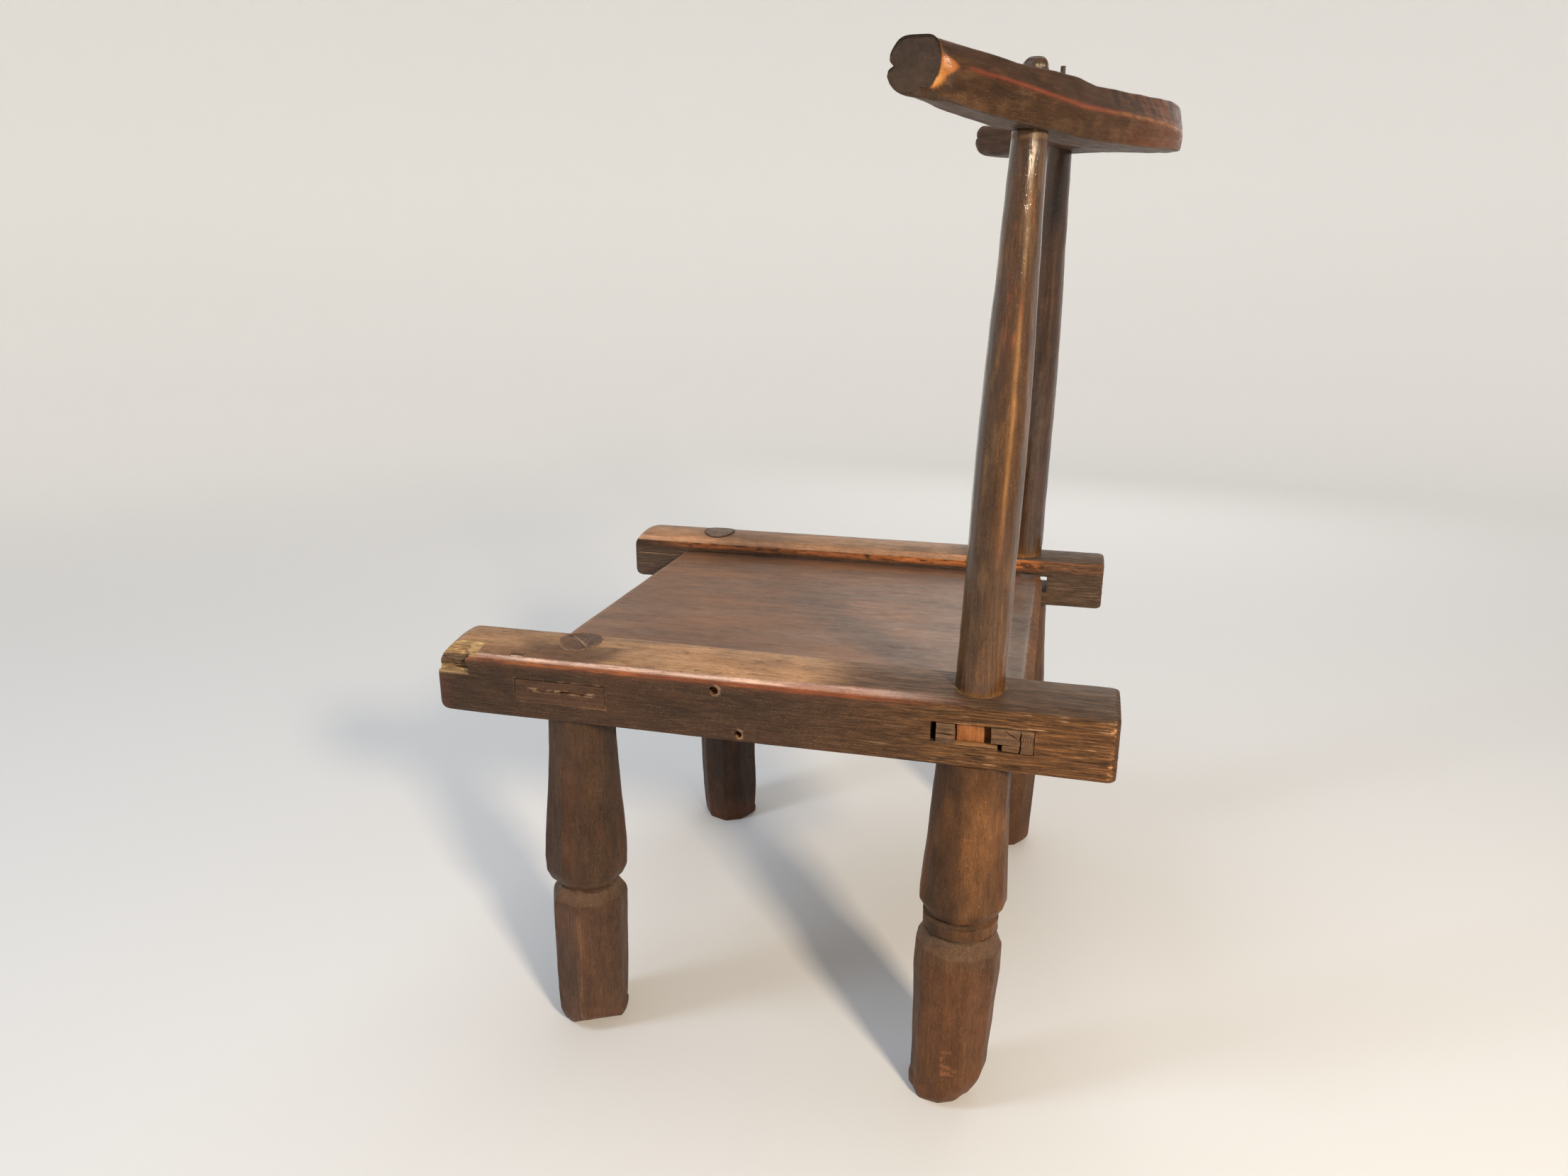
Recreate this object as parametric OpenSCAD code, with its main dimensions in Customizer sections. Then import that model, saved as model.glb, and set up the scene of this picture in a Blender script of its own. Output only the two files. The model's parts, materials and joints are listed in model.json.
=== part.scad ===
// Low carved chair with a back and neck rest.
// Millimetres, +Z up, the chair faces -Y, the sitter's left side is at +X.
// The origin is on the floor, under the middle of the whole chair.

/* [Side rails] */
// Length of each side rail, front to back
rail_length = 410; // [380:1:440]
// Thickness of each side rail, side to side
rail_width = 40; // [36:1:44]
// Height of each side rail
rail_height = 42; // [38:1:46]
// Distance between the centre lines of the two rails
rail_spacing = 326; // [300:1:350]
// Height of the rails' underside above the floor
rail_bottom = 231; // [210:1:260]
// Radius of the crowned top of the rails
rail_crown_r = 60; // [50:1:90]

/* [Seat] */
// Thickness of the seat board and its tongues
seat_thick = 14; // [12:0.5:16]
// Height of the seat surface above the rails' underside
seat_rise = 26; // [24:0.5:28]
// How much lower the tops of the tongues are than the seat surface
tongue_relief = 0.5; // [0.2:0.1:1]
// Front edge of the seat board
seat_front = -165; // [-168:1:-162]
// Rear edge of the seat board
seat_rear = 148; // [148:1:150]
// Slack of a tongue in its mortise, above and below
mortise_slack = 0.3; // [0.1:0.1:0.5]

/* [Legs and posts] */
// Diameter of the front leg tenons
front_tenon_d = 27; // [24:0.5:28]
// Diameter of the rear posts where they pass through the rails
rear_tenon_d = 28; // [25:0.5:29]
// Diameter of the tenons at the tops of the posts
top_tenon_d = 15.5; // [13:0.5:17]
// How far the post tenons stand proud of the crest
knob_height = 6.5; // [5:0.5:12]
// Slack of every round tenon in its hole, on the diameter
bore_slack = 0.2; // [0.1:0.05:0.4]

/* [Crest] */
// Span of the crest between the middles of its two ends
crest_span = 426; // [400:1:436]
// Where the middle line of the crest is farthest back
crest_back = 198; // [190:0.5:200]
// Height of the crest's middle line at its back, above the floor
crest_height = 580.5; // [575:0.5:590]
// How far the two ends of the crest rise above its back
crest_lift = 10.5; // [5:0.5:15]
// How far the right end stands above the left end, halved
crest_roll = 8; // [0:0.5:10]
// Width of the crest's section, seen from above
crest_w = 33; // [30:0.5:36]
// Height of the crest's section
crest_h = 27; // [26:0.5:30]

/* [Hidden] */
$fn = 96;
big = 1000;

rail_front = -214;
rail_rear = rail_front + rail_length;
rail_top = rail_bottom + rail_height;
rail_inner = (rail_spacing - rail_width) / 2;
rail_outer = (rail_spacing + rail_width) / 2;
seat_top = rail_bottom + seat_rise;
seat_bottom = seat_top - seat_thick;

// Each leg's middle line: its foot on the floor, then where it enters the rail
front_left = [[153, -134, 0], [157, -128, rail_bottom]];
front_right = [[-150, -128, 0], [-157, -136, rail_bottom]];
rear_left = [[163, 113, 0], [162, 118.5, rail_bottom]];
rear_right = [[-168, 129, 0], [-162, 130.5, rail_bottom]];
// Each post's middle line: its shoulder under the crest
post_left_top = [151, 127.5, 564];
post_right_top = [-139, 137, 580];

// Front and back ends of the tongues: front pair, then rear pair
front_tongue = [-160, -101];
rear_tongue = [95, seat_rear];
rear_mortise_end = 151;

// How the crest curves: it nears a straight arm of this slope away from its middle
crest_slope = 1.06;
crest_bend = 140;
crest_steps = 14;

// Height and radius of each ring along the front legs, from the foot up
front_leg_outline = [[0, 20.5], [3, 21.5], [12, 22.8], [27, 24], [47, 24.3], [94, 24.8], [97, 24.3],
                     [106.5, 19.6], [112.5, 23.4], [119.5, 26.2], [130, 26.5], [146, 25.5],
                     [177, 23.1], [207, 21.3], [231, 20.8]];
rear_leg_outline = [[0, 20], [5, 22], [22, 23], [43, 24], [69, 24.9], [90, 26.2], [108, 25.6],
                    [116, 22], [119, 21.3], [123, 22.3], [127, 22], [131, 21.5], [139.5, 26],
                    [154, 25], [173, 23.7], [187, 23], [217, 21.6], [231, 21.3]];
// Share of the post's height and radius there, from the rail up to the crest
post_outline = [[0, 14], [0.12, 13.5], [0.45, 13.3], [0.58, 12.5], [0.73, 11.2], [0.87, 10], [1, 8.6]];

wood_dark = [0.25, 0.16, 0.11];
wood_mid = [0.36, 0.24, 0.16];
wood_red = [0.42, 0.22, 0.13];
wood_grey = [0.38, 0.31, 0.27];
wood_fresh = [0.72, 0.52, 0.28];

// Puts its children on the line from a to b, with their +Z along it and their origin at a
module along(a, b) {
    d = b - a;
    way = atan2(d.y, d.x);
    translate(a) rotate([0, acos(d.z / norm(d)), way]) rotate([0, 0, -way]) children();
}

// Where the line from a to b meets the height z
function at_height(a, b, z) = a + (b - a) * (z - a.z) / (b.z - a.z);

// Keeps what is between two heights
module between(low, high) {
    intersection() {
        children();
        translate([-big / 2, -big / 2, low]) cube([big, big, high - low]);
    }
}

// A turned solid from heights and radii
module turned(outline) {
    last = outline[len(outline) - 1];
    rotate_extrude()
        polygon(concat([[0, outline[0][0]]], [for (p = outline) [p[1], p[0]]], [[0, last[0]]]));
}

// A leg from the floor to the rail, with its foot and its shoulder cut level
module leg(line, outline) {
    reach = 4;
    longer = concat([[-reach, outline[0][1]]], outline,
                    [[rail_bottom + reach, outline[len(outline) - 1][1]]]);
    between(0, rail_bottom) along(line[0], line[1]) turned(longer);
}

// The straight round tenon from the shoulder of a leg up to the height z
module tenon(line, d, z) {
    start = at_height(line[0], line[1], rail_bottom - 5);
    stop = at_height(line[0], line[1], z + 5);
    between(rail_bottom - 0.01, z) along(start, stop) cylinder(d = d, h = norm(stop - start));
}

// A front leg with the tenon that shows on top of the rail
module front_leg(line) {
    union() {
        leg(line, front_leg_outline);
        tenon(line, front_tenon_d, rail_top + 1.2);
    }
}

// Where a rear post starts, on top of the rail
function post_foot(line, top) = at_height(line[1], top, rail_top);

// A rear leg that runs on through the rail as the back post
module leg_post(line, top) {
    foot = post_foot(line, top);
    length = norm(top - line[1]);
    start = norm(foot - line[1]);
    union() {
        leg(line, rear_leg_outline);
        between(rail_bottom - 0.01, big) along(line[1], top) translate([0, 0, -3])
            cylinder(d = rear_tenon_d, h = start + 3);
        along(line[1], top)
            turned([for (p = post_outline) [start + p[0] * (length - start), p[1]]]);
        along(line[1], top) translate([0, 0, length - 1])
            cylinder(d = top_tenon_d, h = crest_h + knob_height - 2);
        along(line[1], top) translate([0, 0, length + crest_h + knob_height - 3])
            cylinder(d1 = top_tenon_d, d2 = top_tenon_d - 6, h = 3);
    }
}

// The holes that a leg or post makes in the rail and in the seat's tongue
module leg_hole(line, top, d) {
    low = at_height(line[1], top, rail_bottom - 10);
    high = at_height(line[1], top, rail_top + 10);
    along(low, high) cylinder(d = d + bore_slack, h = norm(high - low));
}

module front_hole(line) {
    leg_hole(line, line[1] + (line[1] - line[0]), front_tenon_d);
}

// A side rail: a bar with a crowned top, rounded at its front end; side is 1 or -1
module rail(side) {
    nose_r = 16;
    heel_r = 5;
    mortise_low = seat_bottom - mortise_slack;
    mortise_high = seat_thick - tongue_relief + 2 * mortise_slack;
    translate([side * rail_spacing / 2, 0, 0]) difference() {
        intersection() {
            translate([-rail_width / 2, rail_front, rail_bottom]) cube([rail_width, rail_length, rail_height]);
            translate([0, rail_front - 1, rail_top - rail_crown_r])
                rotate([-90, 0, 0]) cylinder(r = rail_crown_r, h = rail_length + 2);
        }
        end_round(rail_front, rail_top, nose_r, 1, -1);
        end_round(rail_front, rail_bottom, nose_r / 2, 1, 1);
        end_round(rail_rear, rail_top, heel_r, -1, -1);
        end_round(rail_rear, rail_bottom, heel_r, -1, 1);
        translate([-rail_width, front_tongue[0], mortise_low])
            cube([2 * rail_width, front_tongue[1] - front_tongue[0], mortise_high]);
        translate([-rail_width, rear_tongue[0], mortise_low])
            cube([2 * rail_width, rear_mortise_end - rear_tongue[0], mortise_high]);
    }
}

// Rounds one edge of a rail's end; in_y and in_z are 1 or -1 and point into the wood
module end_round(y, z, r, in_y, in_z) {
    difference() {
        translate([0, y + in_y * (r - 1) / 2, z + in_z * (r - 1) / 2])
            cube([2 * rail_width, r + 1, r + 1], center = true);
        translate([0, y + in_y * r, z + in_z * r])
            rotate([0, 90, 0]) cylinder(r = r, h = 3 * rail_width, center = true);
    }
}

// A tongue of the seat board, through the rail to its outer face
module tongue(side, ends) {
    translate([side > 0 ? 0 : -rail_outer, ends[0], seat_bottom])
        cube([rail_outer, ends[1] - ends[0], seat_thick - tongue_relief]);
}

// Where the worn-out end of the left rear tongue has broken away in front of the post
module broken_tongue_end() {
    gap_front = 110;
    gap_rear = 130;
    gap_depth = 16;
    translate([rail_outer - gap_depth, gap_front, seat_bottom - 1])
        cube([gap_depth + 1, gap_rear - gap_front, seat_thick + 2]);
}

// The packing sliver under the broken tongue: its own size, or its notch when slack is given
module sliver_block(slack) {
    sliver_front = 133;
    sliver = [13, 12, 4];
    translate([rail_outer - sliver.x - slack, sliver_front - slack, seat_bottom - slack])
        cube([sliver.x + 2 * slack, sliver.y + 2 * slack, sliver.z + 2 * slack]);
}

// The kerf in the left front tenon, and the wedge that fills it
module wedge_block(slack) {
    wedge_length = 22;
    wedge_depth = 24;
    wedge_top = 2.6;
    turn = 35;
    spot = at_height(front_left[0], front_left[1], rail_top);
    translate([spot.x, spot.y, rail_top + 1.2]) rotate([90, 0, turn])
        linear_extrude(height = wedge_length + 2 * slack, center = true)
            polygon([[-wedge_top / 2 - slack, slack], [wedge_top / 2 + slack, slack],
                     [0, -wedge_depth - slack]]);
}

// The crest's middle line at a distance x from the middle of the chair
function crest_y(x) = crest_back - crest_slope * (sqrt(x * x + crest_bend * crest_bend) - crest_bend);
function crest_z(x) = let (share = 2 * x / crest_span)
    crest_height + crest_lift * share * share - crest_roll * share * (1.54 - 0.54 * share * share);
// How far the arm has turned from straight across, in degrees
function crest_turn(x) = -atan(crest_slope * x / sqrt(x * x + crest_bend * crest_bend));

// The crest's section, as shares of its width and height: outwards first, then up
crest_section = [[0.5, 0.06], [0.45, 0.3], [0.3, 0.5], [-0.26, 0.5], [-0.45, 0.32], [-0.5, 0],
                 [-0.45, -0.32], [-0.28, -0.5], [0.26, -0.5], [0.43, -0.32]];

// Size of the section at x: full over the posts, a little smaller towards the ends
function crest_swell(x) = 1 - 0.16 * pow(2 * abs(x) / crest_span, 4);

// One ring of points round the crest
function crest_ring(x) = let (turn = crest_turn(x), swell = crest_swell(x))
    [for (p = crest_section)
        [x - p[0] * crest_w * swell * sin(turn), crest_y(x) + p[0] * crest_w * swell * cos(turn),
         crest_z(x) + p[1] * crest_h * swell]];

// Joins rings of equal length into one closed skin with flat ends
module skin(rings) {
    n = len(rings[0]);
    last = len(rings) - 1;
    sides = [for (i = [0 : last - 1], j = [0 : n - 1])
        [i * n + j, (i + 1) * n + j, (i + 1) * n + (j + 1) % n, i * n + (j + 1) % n]];
    start = [[for (j = [0 : n - 1]) j]];
    end = [[for (j = [n - 1 : -1 : 0]) last * n + j]];
    polyhedron(points = [for (ring = rings) each ring], faces = concat(sides, start, end), convexity = 4);
}

// The hole for a post's tenon, with a shallow housing for the post's shoulder
module crest_hole(line, top) {
    length = norm(top - line[1]);
    shoulder_d = 2 * post_outline[len(post_outline) - 1][1];
    along(line[1], top) {
        translate([0, 0, length - 3]) cylinder(d = top_tenon_d + bore_slack, h = 2 * crest_h);
        translate([0, 0, length - 20]) cylinder(d = shoulder_d + 3, h = 20);
    }
}

module left_side_rail() {
    color(wood_dark) difference() {
        rail(1);
        front_hole(front_left);
        leg_hole(rear_left, post_left_top, rear_tenon_d);
    }
}

module right_side_rail() {
    color(wood_dark) difference() {
        rail(-1);
        front_hole(front_right);
        leg_hole(rear_right, post_right_top, rear_tenon_d);
    }
}

module seat_board() {
    color(wood_grey) difference() {
        union() {
            translate([-rail_inner, seat_front, seat_bottom])
                cube([2 * rail_inner, seat_rear - seat_front, seat_thick]);
            for (side = [-1, 1], ends = [front_tongue, rear_tongue]) tongue(side, ends);
        }
        front_hole(front_left);
        front_hole(front_right);
        leg_hole(rear_left, post_left_top, rear_tenon_d);
        leg_hole(rear_right, post_right_top, rear_tenon_d);
        broken_tongue_end();
        sliver_block(0.1);
    }
}

module front_left_leg() {
    color(wood_mid) difference() {
        front_leg(front_left);
        wedge_block(0.05);
    }
}

module front_right_leg() {
    color(wood_mid) front_leg(front_right);
}

module rear_left_leg_post() {
    color(wood_mid) leg_post(rear_left, post_left_top);
}

module rear_right_leg_post() {
    color(wood_mid) leg_post(rear_right, post_right_top);
}

module crest_rail() {
    half = crest_span / 2;
    color(wood_red) difference() {
        skin([for (i = [-crest_steps : crest_steps]) crest_ring(half * i / crest_steps)]);
        crest_hole(rear_left, post_left_top);
        crest_hole(rear_right, post_right_top);
        nail(0.05);
    }
}

module front_left_tenon_wedge() {
    color(wood_fresh) wedge_block(0);
}

module rear_left_mortise_sliver() {
    color(wood_mid) sliver_block(0);
}

// The nail beside the left post's tenon, or its hole when slack is given
module nail(slack) {
    nail_d = 2.4;
    nail_length = 16;
    proud = 4;
    x = 138;
    top = crest_z(x) + crest_h * crest_swell(x) / 2;
    translate([x, crest_y(x) + 3, top + proud - nail_length - slack])
        cylinder(d = nail_d + 2 * slack, h = nail_length + 2 * slack, $fn = 24);
}

module crest_nail() {
    color("dimgray") nail(0);
}

left_side_rail();
right_side_rail();
seat_board();
front_left_leg();
front_right_leg();
rear_left_leg_post();
rear_right_leg_post();
crest_rail();
front_left_tenon_wedge();
rear_left_mortise_sliver();
crest_nail();
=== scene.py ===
"""Looks for the low carved chair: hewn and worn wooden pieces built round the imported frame."""
import json
import math

import bpy
import numpy as np
from mathutils import Matrix, Vector


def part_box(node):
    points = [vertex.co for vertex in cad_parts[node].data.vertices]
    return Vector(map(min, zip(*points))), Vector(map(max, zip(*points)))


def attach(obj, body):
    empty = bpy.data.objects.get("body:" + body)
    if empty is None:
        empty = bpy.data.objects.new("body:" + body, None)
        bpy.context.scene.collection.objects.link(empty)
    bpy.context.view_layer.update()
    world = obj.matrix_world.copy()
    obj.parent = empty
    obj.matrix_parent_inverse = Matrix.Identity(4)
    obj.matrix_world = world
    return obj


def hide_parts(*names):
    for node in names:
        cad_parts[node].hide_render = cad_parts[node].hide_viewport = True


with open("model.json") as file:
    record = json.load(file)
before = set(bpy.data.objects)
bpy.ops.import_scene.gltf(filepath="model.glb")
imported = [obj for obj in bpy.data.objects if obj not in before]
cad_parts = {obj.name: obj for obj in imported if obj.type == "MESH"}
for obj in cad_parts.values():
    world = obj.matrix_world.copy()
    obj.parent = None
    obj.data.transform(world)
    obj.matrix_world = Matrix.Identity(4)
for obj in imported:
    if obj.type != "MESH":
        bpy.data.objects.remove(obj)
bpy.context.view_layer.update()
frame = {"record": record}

MM = 0.001  # all shapes below are worked out in millimetres
UP = np.array([0.0, 0.0, 1.0])


def box_mm(node):
    """Lowest and highest corner of a CAD node, in millimetres."""
    low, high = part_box(node)
    return np.array(low) / MM, np.array(high) / MM


def mount_mm(name):
    """Place of one of the record's mounts, in millimetres."""
    spot = next(m for m in frame["record"]["mounts"] if m["name"] == name)
    return np.array(spot["pos_m"], float) / MM


# ---------------------------------------------------------------- numbers shared by the pieces
near_low, near_high = box_mm("left_side_rail")
seat_low, seat_high = box_mm("seat_board")
rail_front, rail_rear = near_low[1], near_high[1]
rail_bottom, rail_top = near_low[2], near_high[2]
rail_mid = (near_low[0] + near_high[0]) / 2
rail_half = (near_high[0] - near_low[0]) / 2
seat_top, seat_bottom = seat_high[2], seat_low[2]
inner_face, outer_face = rail_mid - rail_half, rail_mid + rail_half


# ---------------------------------------------------------------- noise and blending
def lattice(i, j, k, seed):
    """Repeatable random numbers from -1 to 1 at whole-number points."""
    h = (i * 374761393 + j * 668265263 + k * 1274126177 + seed * 974711) & 0xFFFFFFFF
    h = ((h ^ (h >> 13)) * 1103515245) & 0xFFFFFFFF
    h = ((h ^ (h >> 16)) * 69069 + 12345) & 0xFFFFFFFF
    return (h >> 8) / 8388607.5 - 1.0


def noise(points, size, seed, octaves=2):
    """Smooth noise from about -1 to 1; size is the length of its waves along each axis."""
    q = np.asarray(points, float) / np.asarray(size, float)
    total, weight, sum_weight = 0.0, 1.0, 0.0
    for octave in range(octaves):
        cell = np.floor(q).astype(np.int64)
        f = q - cell
        f = f * f * (3 - 2 * f)
        value = 0.0
        for dx in (0, 1):
            wx = f[..., 0] if dx else 1 - f[..., 0]
            for dy in (0, 1):
                wy = f[..., 1] if dy else 1 - f[..., 1]
                for dz in (0, 1):
                    wz = f[..., 2] if dz else 1 - f[..., 2]
                    value = value + wx * wy * wz * lattice(
                        cell[..., 0] + dx, cell[..., 1] + dy, cell[..., 2] + dz, seed + 31 * octave)
        total = total + weight * value
        sum_weight += weight
        weight *= 0.5
        q = q * 2.03 + 11.7
    return total / sum_weight


def waves(v, length, seed, count, apart, octaves=3):
    """Columns of separate slow noise along v."""
    return np.stack([noise(np.stack([v, 0 * v + apart * k, 0 * v], 1), (length, 1, 1), seed + k, octaves)
                     for k in range(count)], 1)


def rise(v, start, end):
    """0 before start, 1 past end, smooth between; end may be below start."""
    t = np.clip((v - start) / (end - start), 0, 1)
    return t * t * (3 - 2 * t)


def band(v, low, high, soft):
    """1 between low and high, fading to 0 over soft on both sides."""
    return rise(v, low - soft, low) * rise(v, high + soft, high)


# ---------------------------------------------------------------- meshes
def mesh_of(name, points, quads, rims=()):
    """An object from points in millimetres, four-sided faces and any larger faces, all facing outwards."""
    points, quads = np.asarray(points, float), np.asarray(quads)
    volume = 0.0
    for a, b, c in [(quads[:, 0], quads[:, 1], quads[:, 2]), (quads[:, 0], quads[:, 2], quads[:, 3])]:
        volume += (points[a] * np.cross(points[b], points[c])).sum()
    for rim in rims:
        rim = np.asarray(rim)
        volume += (points[rim[0]] * np.cross(points[rim[1:-1]], points[rim[2:]])).sum()
    if volume < 0:
        quads, rims = quads[:, ::-1], [np.asarray(r)[::-1] for r in rims]
    mesh = bpy.data.meshes.new(name)
    corners = np.concatenate([np.asarray(quads).ravel()] + [np.asarray(r) for r in rims]).astype(np.int32)
    sizes = np.array([4] * len(quads) + [len(r) for r in rims], np.int32)
    starts = np.concatenate([[0], np.cumsum(sizes)[:-1]]).astype(np.int32)
    mesh.vertices.add(len(points))
    mesh.vertices.foreach_set("co", (np.asarray(points) * MM).astype(np.float32).ravel())
    mesh.loops.add(len(corners))
    mesh.loops.foreach_set("vertex_index", corners)
    mesh.polygons.add(len(sizes))
    mesh.polygons.foreach_set("loop_start", starts)
    mesh.update(calc_edges=True)
    mesh.validate()
    piece = bpy.data.objects.new(name, mesh)
    bpy.context.scene.collection.objects.link(piece)
    return piece


def tube(name, rings):
    """A closed solid through rings of points; both ends close on their last ring."""
    count, around = rings.shape[:2]
    ids = np.arange(count * around).reshape(count, around)
    a, b = ids[:-1], ids[1:]
    quads = np.stack([a, np.roll(a, -1, 1), np.roll(b, -1, 1), b], -1).reshape(-1, 4)
    return mesh_of(name, rings.reshape(-1, 3), quads, [ids[0, ::-1], ids[-1]])


def capped(rings, shares=(0.95, 0.85, 0.72, 0.58, 0.44, 0.3, 0.16, 0.04)):
    """Adds rings that close in on the middle of both end rings."""
    def inward(ring):
        middle = ring.mean(0)
        return [middle + (ring - middle) * s for s in shares]
    return np.array(inward(rings[0])[::-1] + list(rings) + inward(rings[-1]))


def block(name, low, high, step, radius=0.3, rough=0.0, seed=0, bend=None):
    """A box with rounded edges and an even grid of points, with an uneven surface."""
    low, high = np.array(low, float), np.array(high, float)
    n = np.maximum(np.ceil((high - low) / np.asarray(step, float)).astype(int), 1)
    stride = np.array([(n[1] + 1) * (n[2] + 1), n[2] + 1, 1])
    quads = []
    for axis in range(3):
        a, b = (axis + 1) % 3, (axis + 2) % 3
        i, j = np.meshgrid(np.arange(n[a]), np.arange(n[b]), indexing="ij")
        for side in (0, 1):
            base = i * stride[a] + j * stride[b] + side * n[axis] * stride[axis]
            face = np.stack([base, base + stride[a], base + stride[a] + stride[b], base + stride[b]], -1)
            quads.append(face.reshape(-1, 4) if side else face.reshape(-1, 4)[:, ::-1])
    ids, quads = np.unique(np.concatenate(quads), return_inverse=True)
    cells = np.stack([ids // stride[0], ids % stride[0] // stride[1], ids % stride[1]], -1)
    points = low + (high - low) * cells / n
    core = np.clip(points, low + radius, high - radius)
    out = points - core
    out /= np.maximum(np.linalg.norm(out, axis=1), 1e-9)[:, None]
    points = core + out * radius
    if rough:
        points = points + out * (noise(points, (5, 5, 5), seed, 3) * rough)[:, None]
    if bend is not None:
        points = bend(points)
    return mesh_of(name, points, quads.reshape(-1, 4))


def peg(name, start, end, radius, wobble=0.0, seed=0, around=56):
    """A round solid from start to end with slightly uneven sides."""
    start, end = np.array(start, float), np.array(end, float)
    axis = (end - start) / np.linalg.norm(end - start)
    side = np.cross(axis, [1.0, 0.0, 0.0] if abs(axis[0]) < 0.7 else UP)
    side /= np.linalg.norm(side)
    other = np.cross(axis, side)
    steps = max(int(np.linalg.norm(end - start) / 1.5), 3)
    turn = np.linspace(0, 2 * math.pi, around, endpoint=False)
    out = np.cos(turn)[:, None] * side + np.sin(turn)[:, None] * other
    rings = start + (end - start) * np.linspace(0, 1, steps)[:, None, None] + out[None] * radius
    rings = rings + out[None] * (wobble * noise(rings, (4, 4, 4), seed))[..., None]
    return tube(name, rings)


def blade(path, width, depth, normal):
    """A cutter for a crack or a scratch: a thin sliver along a path on the surface."""
    path, normal = np.array(path, float), np.array(normal, float)
    along = np.gradient(path, axis=0)
    side = np.cross(along, normal)
    side /= np.linalg.norm(side, axis=1)[:, None]
    share = np.linspace(0, 1, len(path))
    swell = np.sin(np.pi * np.clip(share, 0.02, 0.98))[:, None] ** 0.6
    rings = np.stack([path + side * width / 2 * swell, path + normal * depth * swell,
                      path - side * width / 2 * swell, path - normal * depth * swell], 1)
    return tube("cutter", rings)


def wander(start, end, amount, seed, count=40):
    """A path from start to end that strays a little to all sides."""
    start, end = np.array(start, float), np.array(end, float)
    share = np.linspace(0, 1, count)[:, None]
    path = start + (end - start) * share
    length = np.linalg.norm(end - start)
    spots = np.concatenate([share * length, np.zeros_like(share), np.zeros_like(share)], 1)
    stray = np.stack([noise(spots, (length / 5, 1, 1), seed + i, 3) for i in range(3)], 1)
    return path + amount * stray * np.sin(np.pi * share)


def carve(piece, cutters, operation="DIFFERENCE"):
    """Cuts other solids out of a piece, or joins them to it, for good."""
    for cutter in cutters:
        change = piece.modifiers.new("carve", "BOOLEAN")
        change.operation = operation
        change.solver = "MANIFOLD"
        change.object = cutter
    bpy.context.view_layer.update()
    made = bpy.data.meshes.new_from_object(piece.evaluated_get(bpy.context.evaluated_depsgraph_get()))
    piece.modifiers.clear()
    old, piece.data = piece.data, made
    bpy.data.meshes.remove(old)
    made.name = piece.name
    for cutter in cutters:
        mesh = cutter.data
        bpy.data.objects.remove(cutter)
        bpy.data.meshes.remove(mesh)
    return piece


def facet_radius(turn, angles, distances, edge):
    """Radius at each turn of a many-sided section whose edges are worn round by about edge."""
    angles = np.atleast_2d(angles)
    facing = np.cos(turn[None, :, None] - angles[:, None, :])
    edge = np.reshape(edge, (-1, 1, 1)) if np.ndim(edge) else edge
    reach = np.asarray(distances)[:, None, :] / np.maximum(facing, 0.05)
    least = reach.min(-1, keepdims=True)
    return (least - edge * np.log(np.exp(-(reach - least) / edge).sum(-1, keepdims=True)))[..., 0]


def even_turns(angles, distances, count, edge):
    """Turns that are evenly spaced along the outline of a section."""
    fine = np.linspace(0, 2 * math.pi, 4000, endpoint=False)
    r = facet_radius(fine, angles, np.array([distances], float), edge)[0]
    x, y = r * np.cos(fine), r * np.sin(fine)
    step = np.hypot(np.diff(x, append=x[0]), np.diff(y, append=y[0]))
    run = np.concatenate([[0], np.cumsum(step)])
    want = np.linspace(0, run[-1], count, endpoint=False)
    return np.interp(want, run, np.append(fine, 2 * math.pi))


def end_wear(distance, depth, length=None):
    """How far a surface draws back close to a rounded end."""
    t = 1 - np.clip(distance / (depth if length is None else length), 0, 1)
    return depth * (1 - np.sqrt(1 - t ** 2))


def spans(*parts):
    """Sorted places from (start, end, step) stretches."""
    runs = [np.arange(a, b, s) for a, b, s in parts]
    return np.unique(np.round(np.concatenate(runs + [[parts[-1][1]]]), 4))


# ---------------------------------------------------------------- paint and wear
DARK = (0.028, 0.015, 0.009)
BROWN = (0.050, 0.027, 0.015)
RUSSET = (0.120, 0.046, 0.020)
RED = (0.200, 0.052, 0.018)
ORANGE = (0.440, 0.150, 0.040)
GOLD = (0.620, 0.300, 0.080)
MAUVE = (0.130, 0.072, 0.050)


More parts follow.
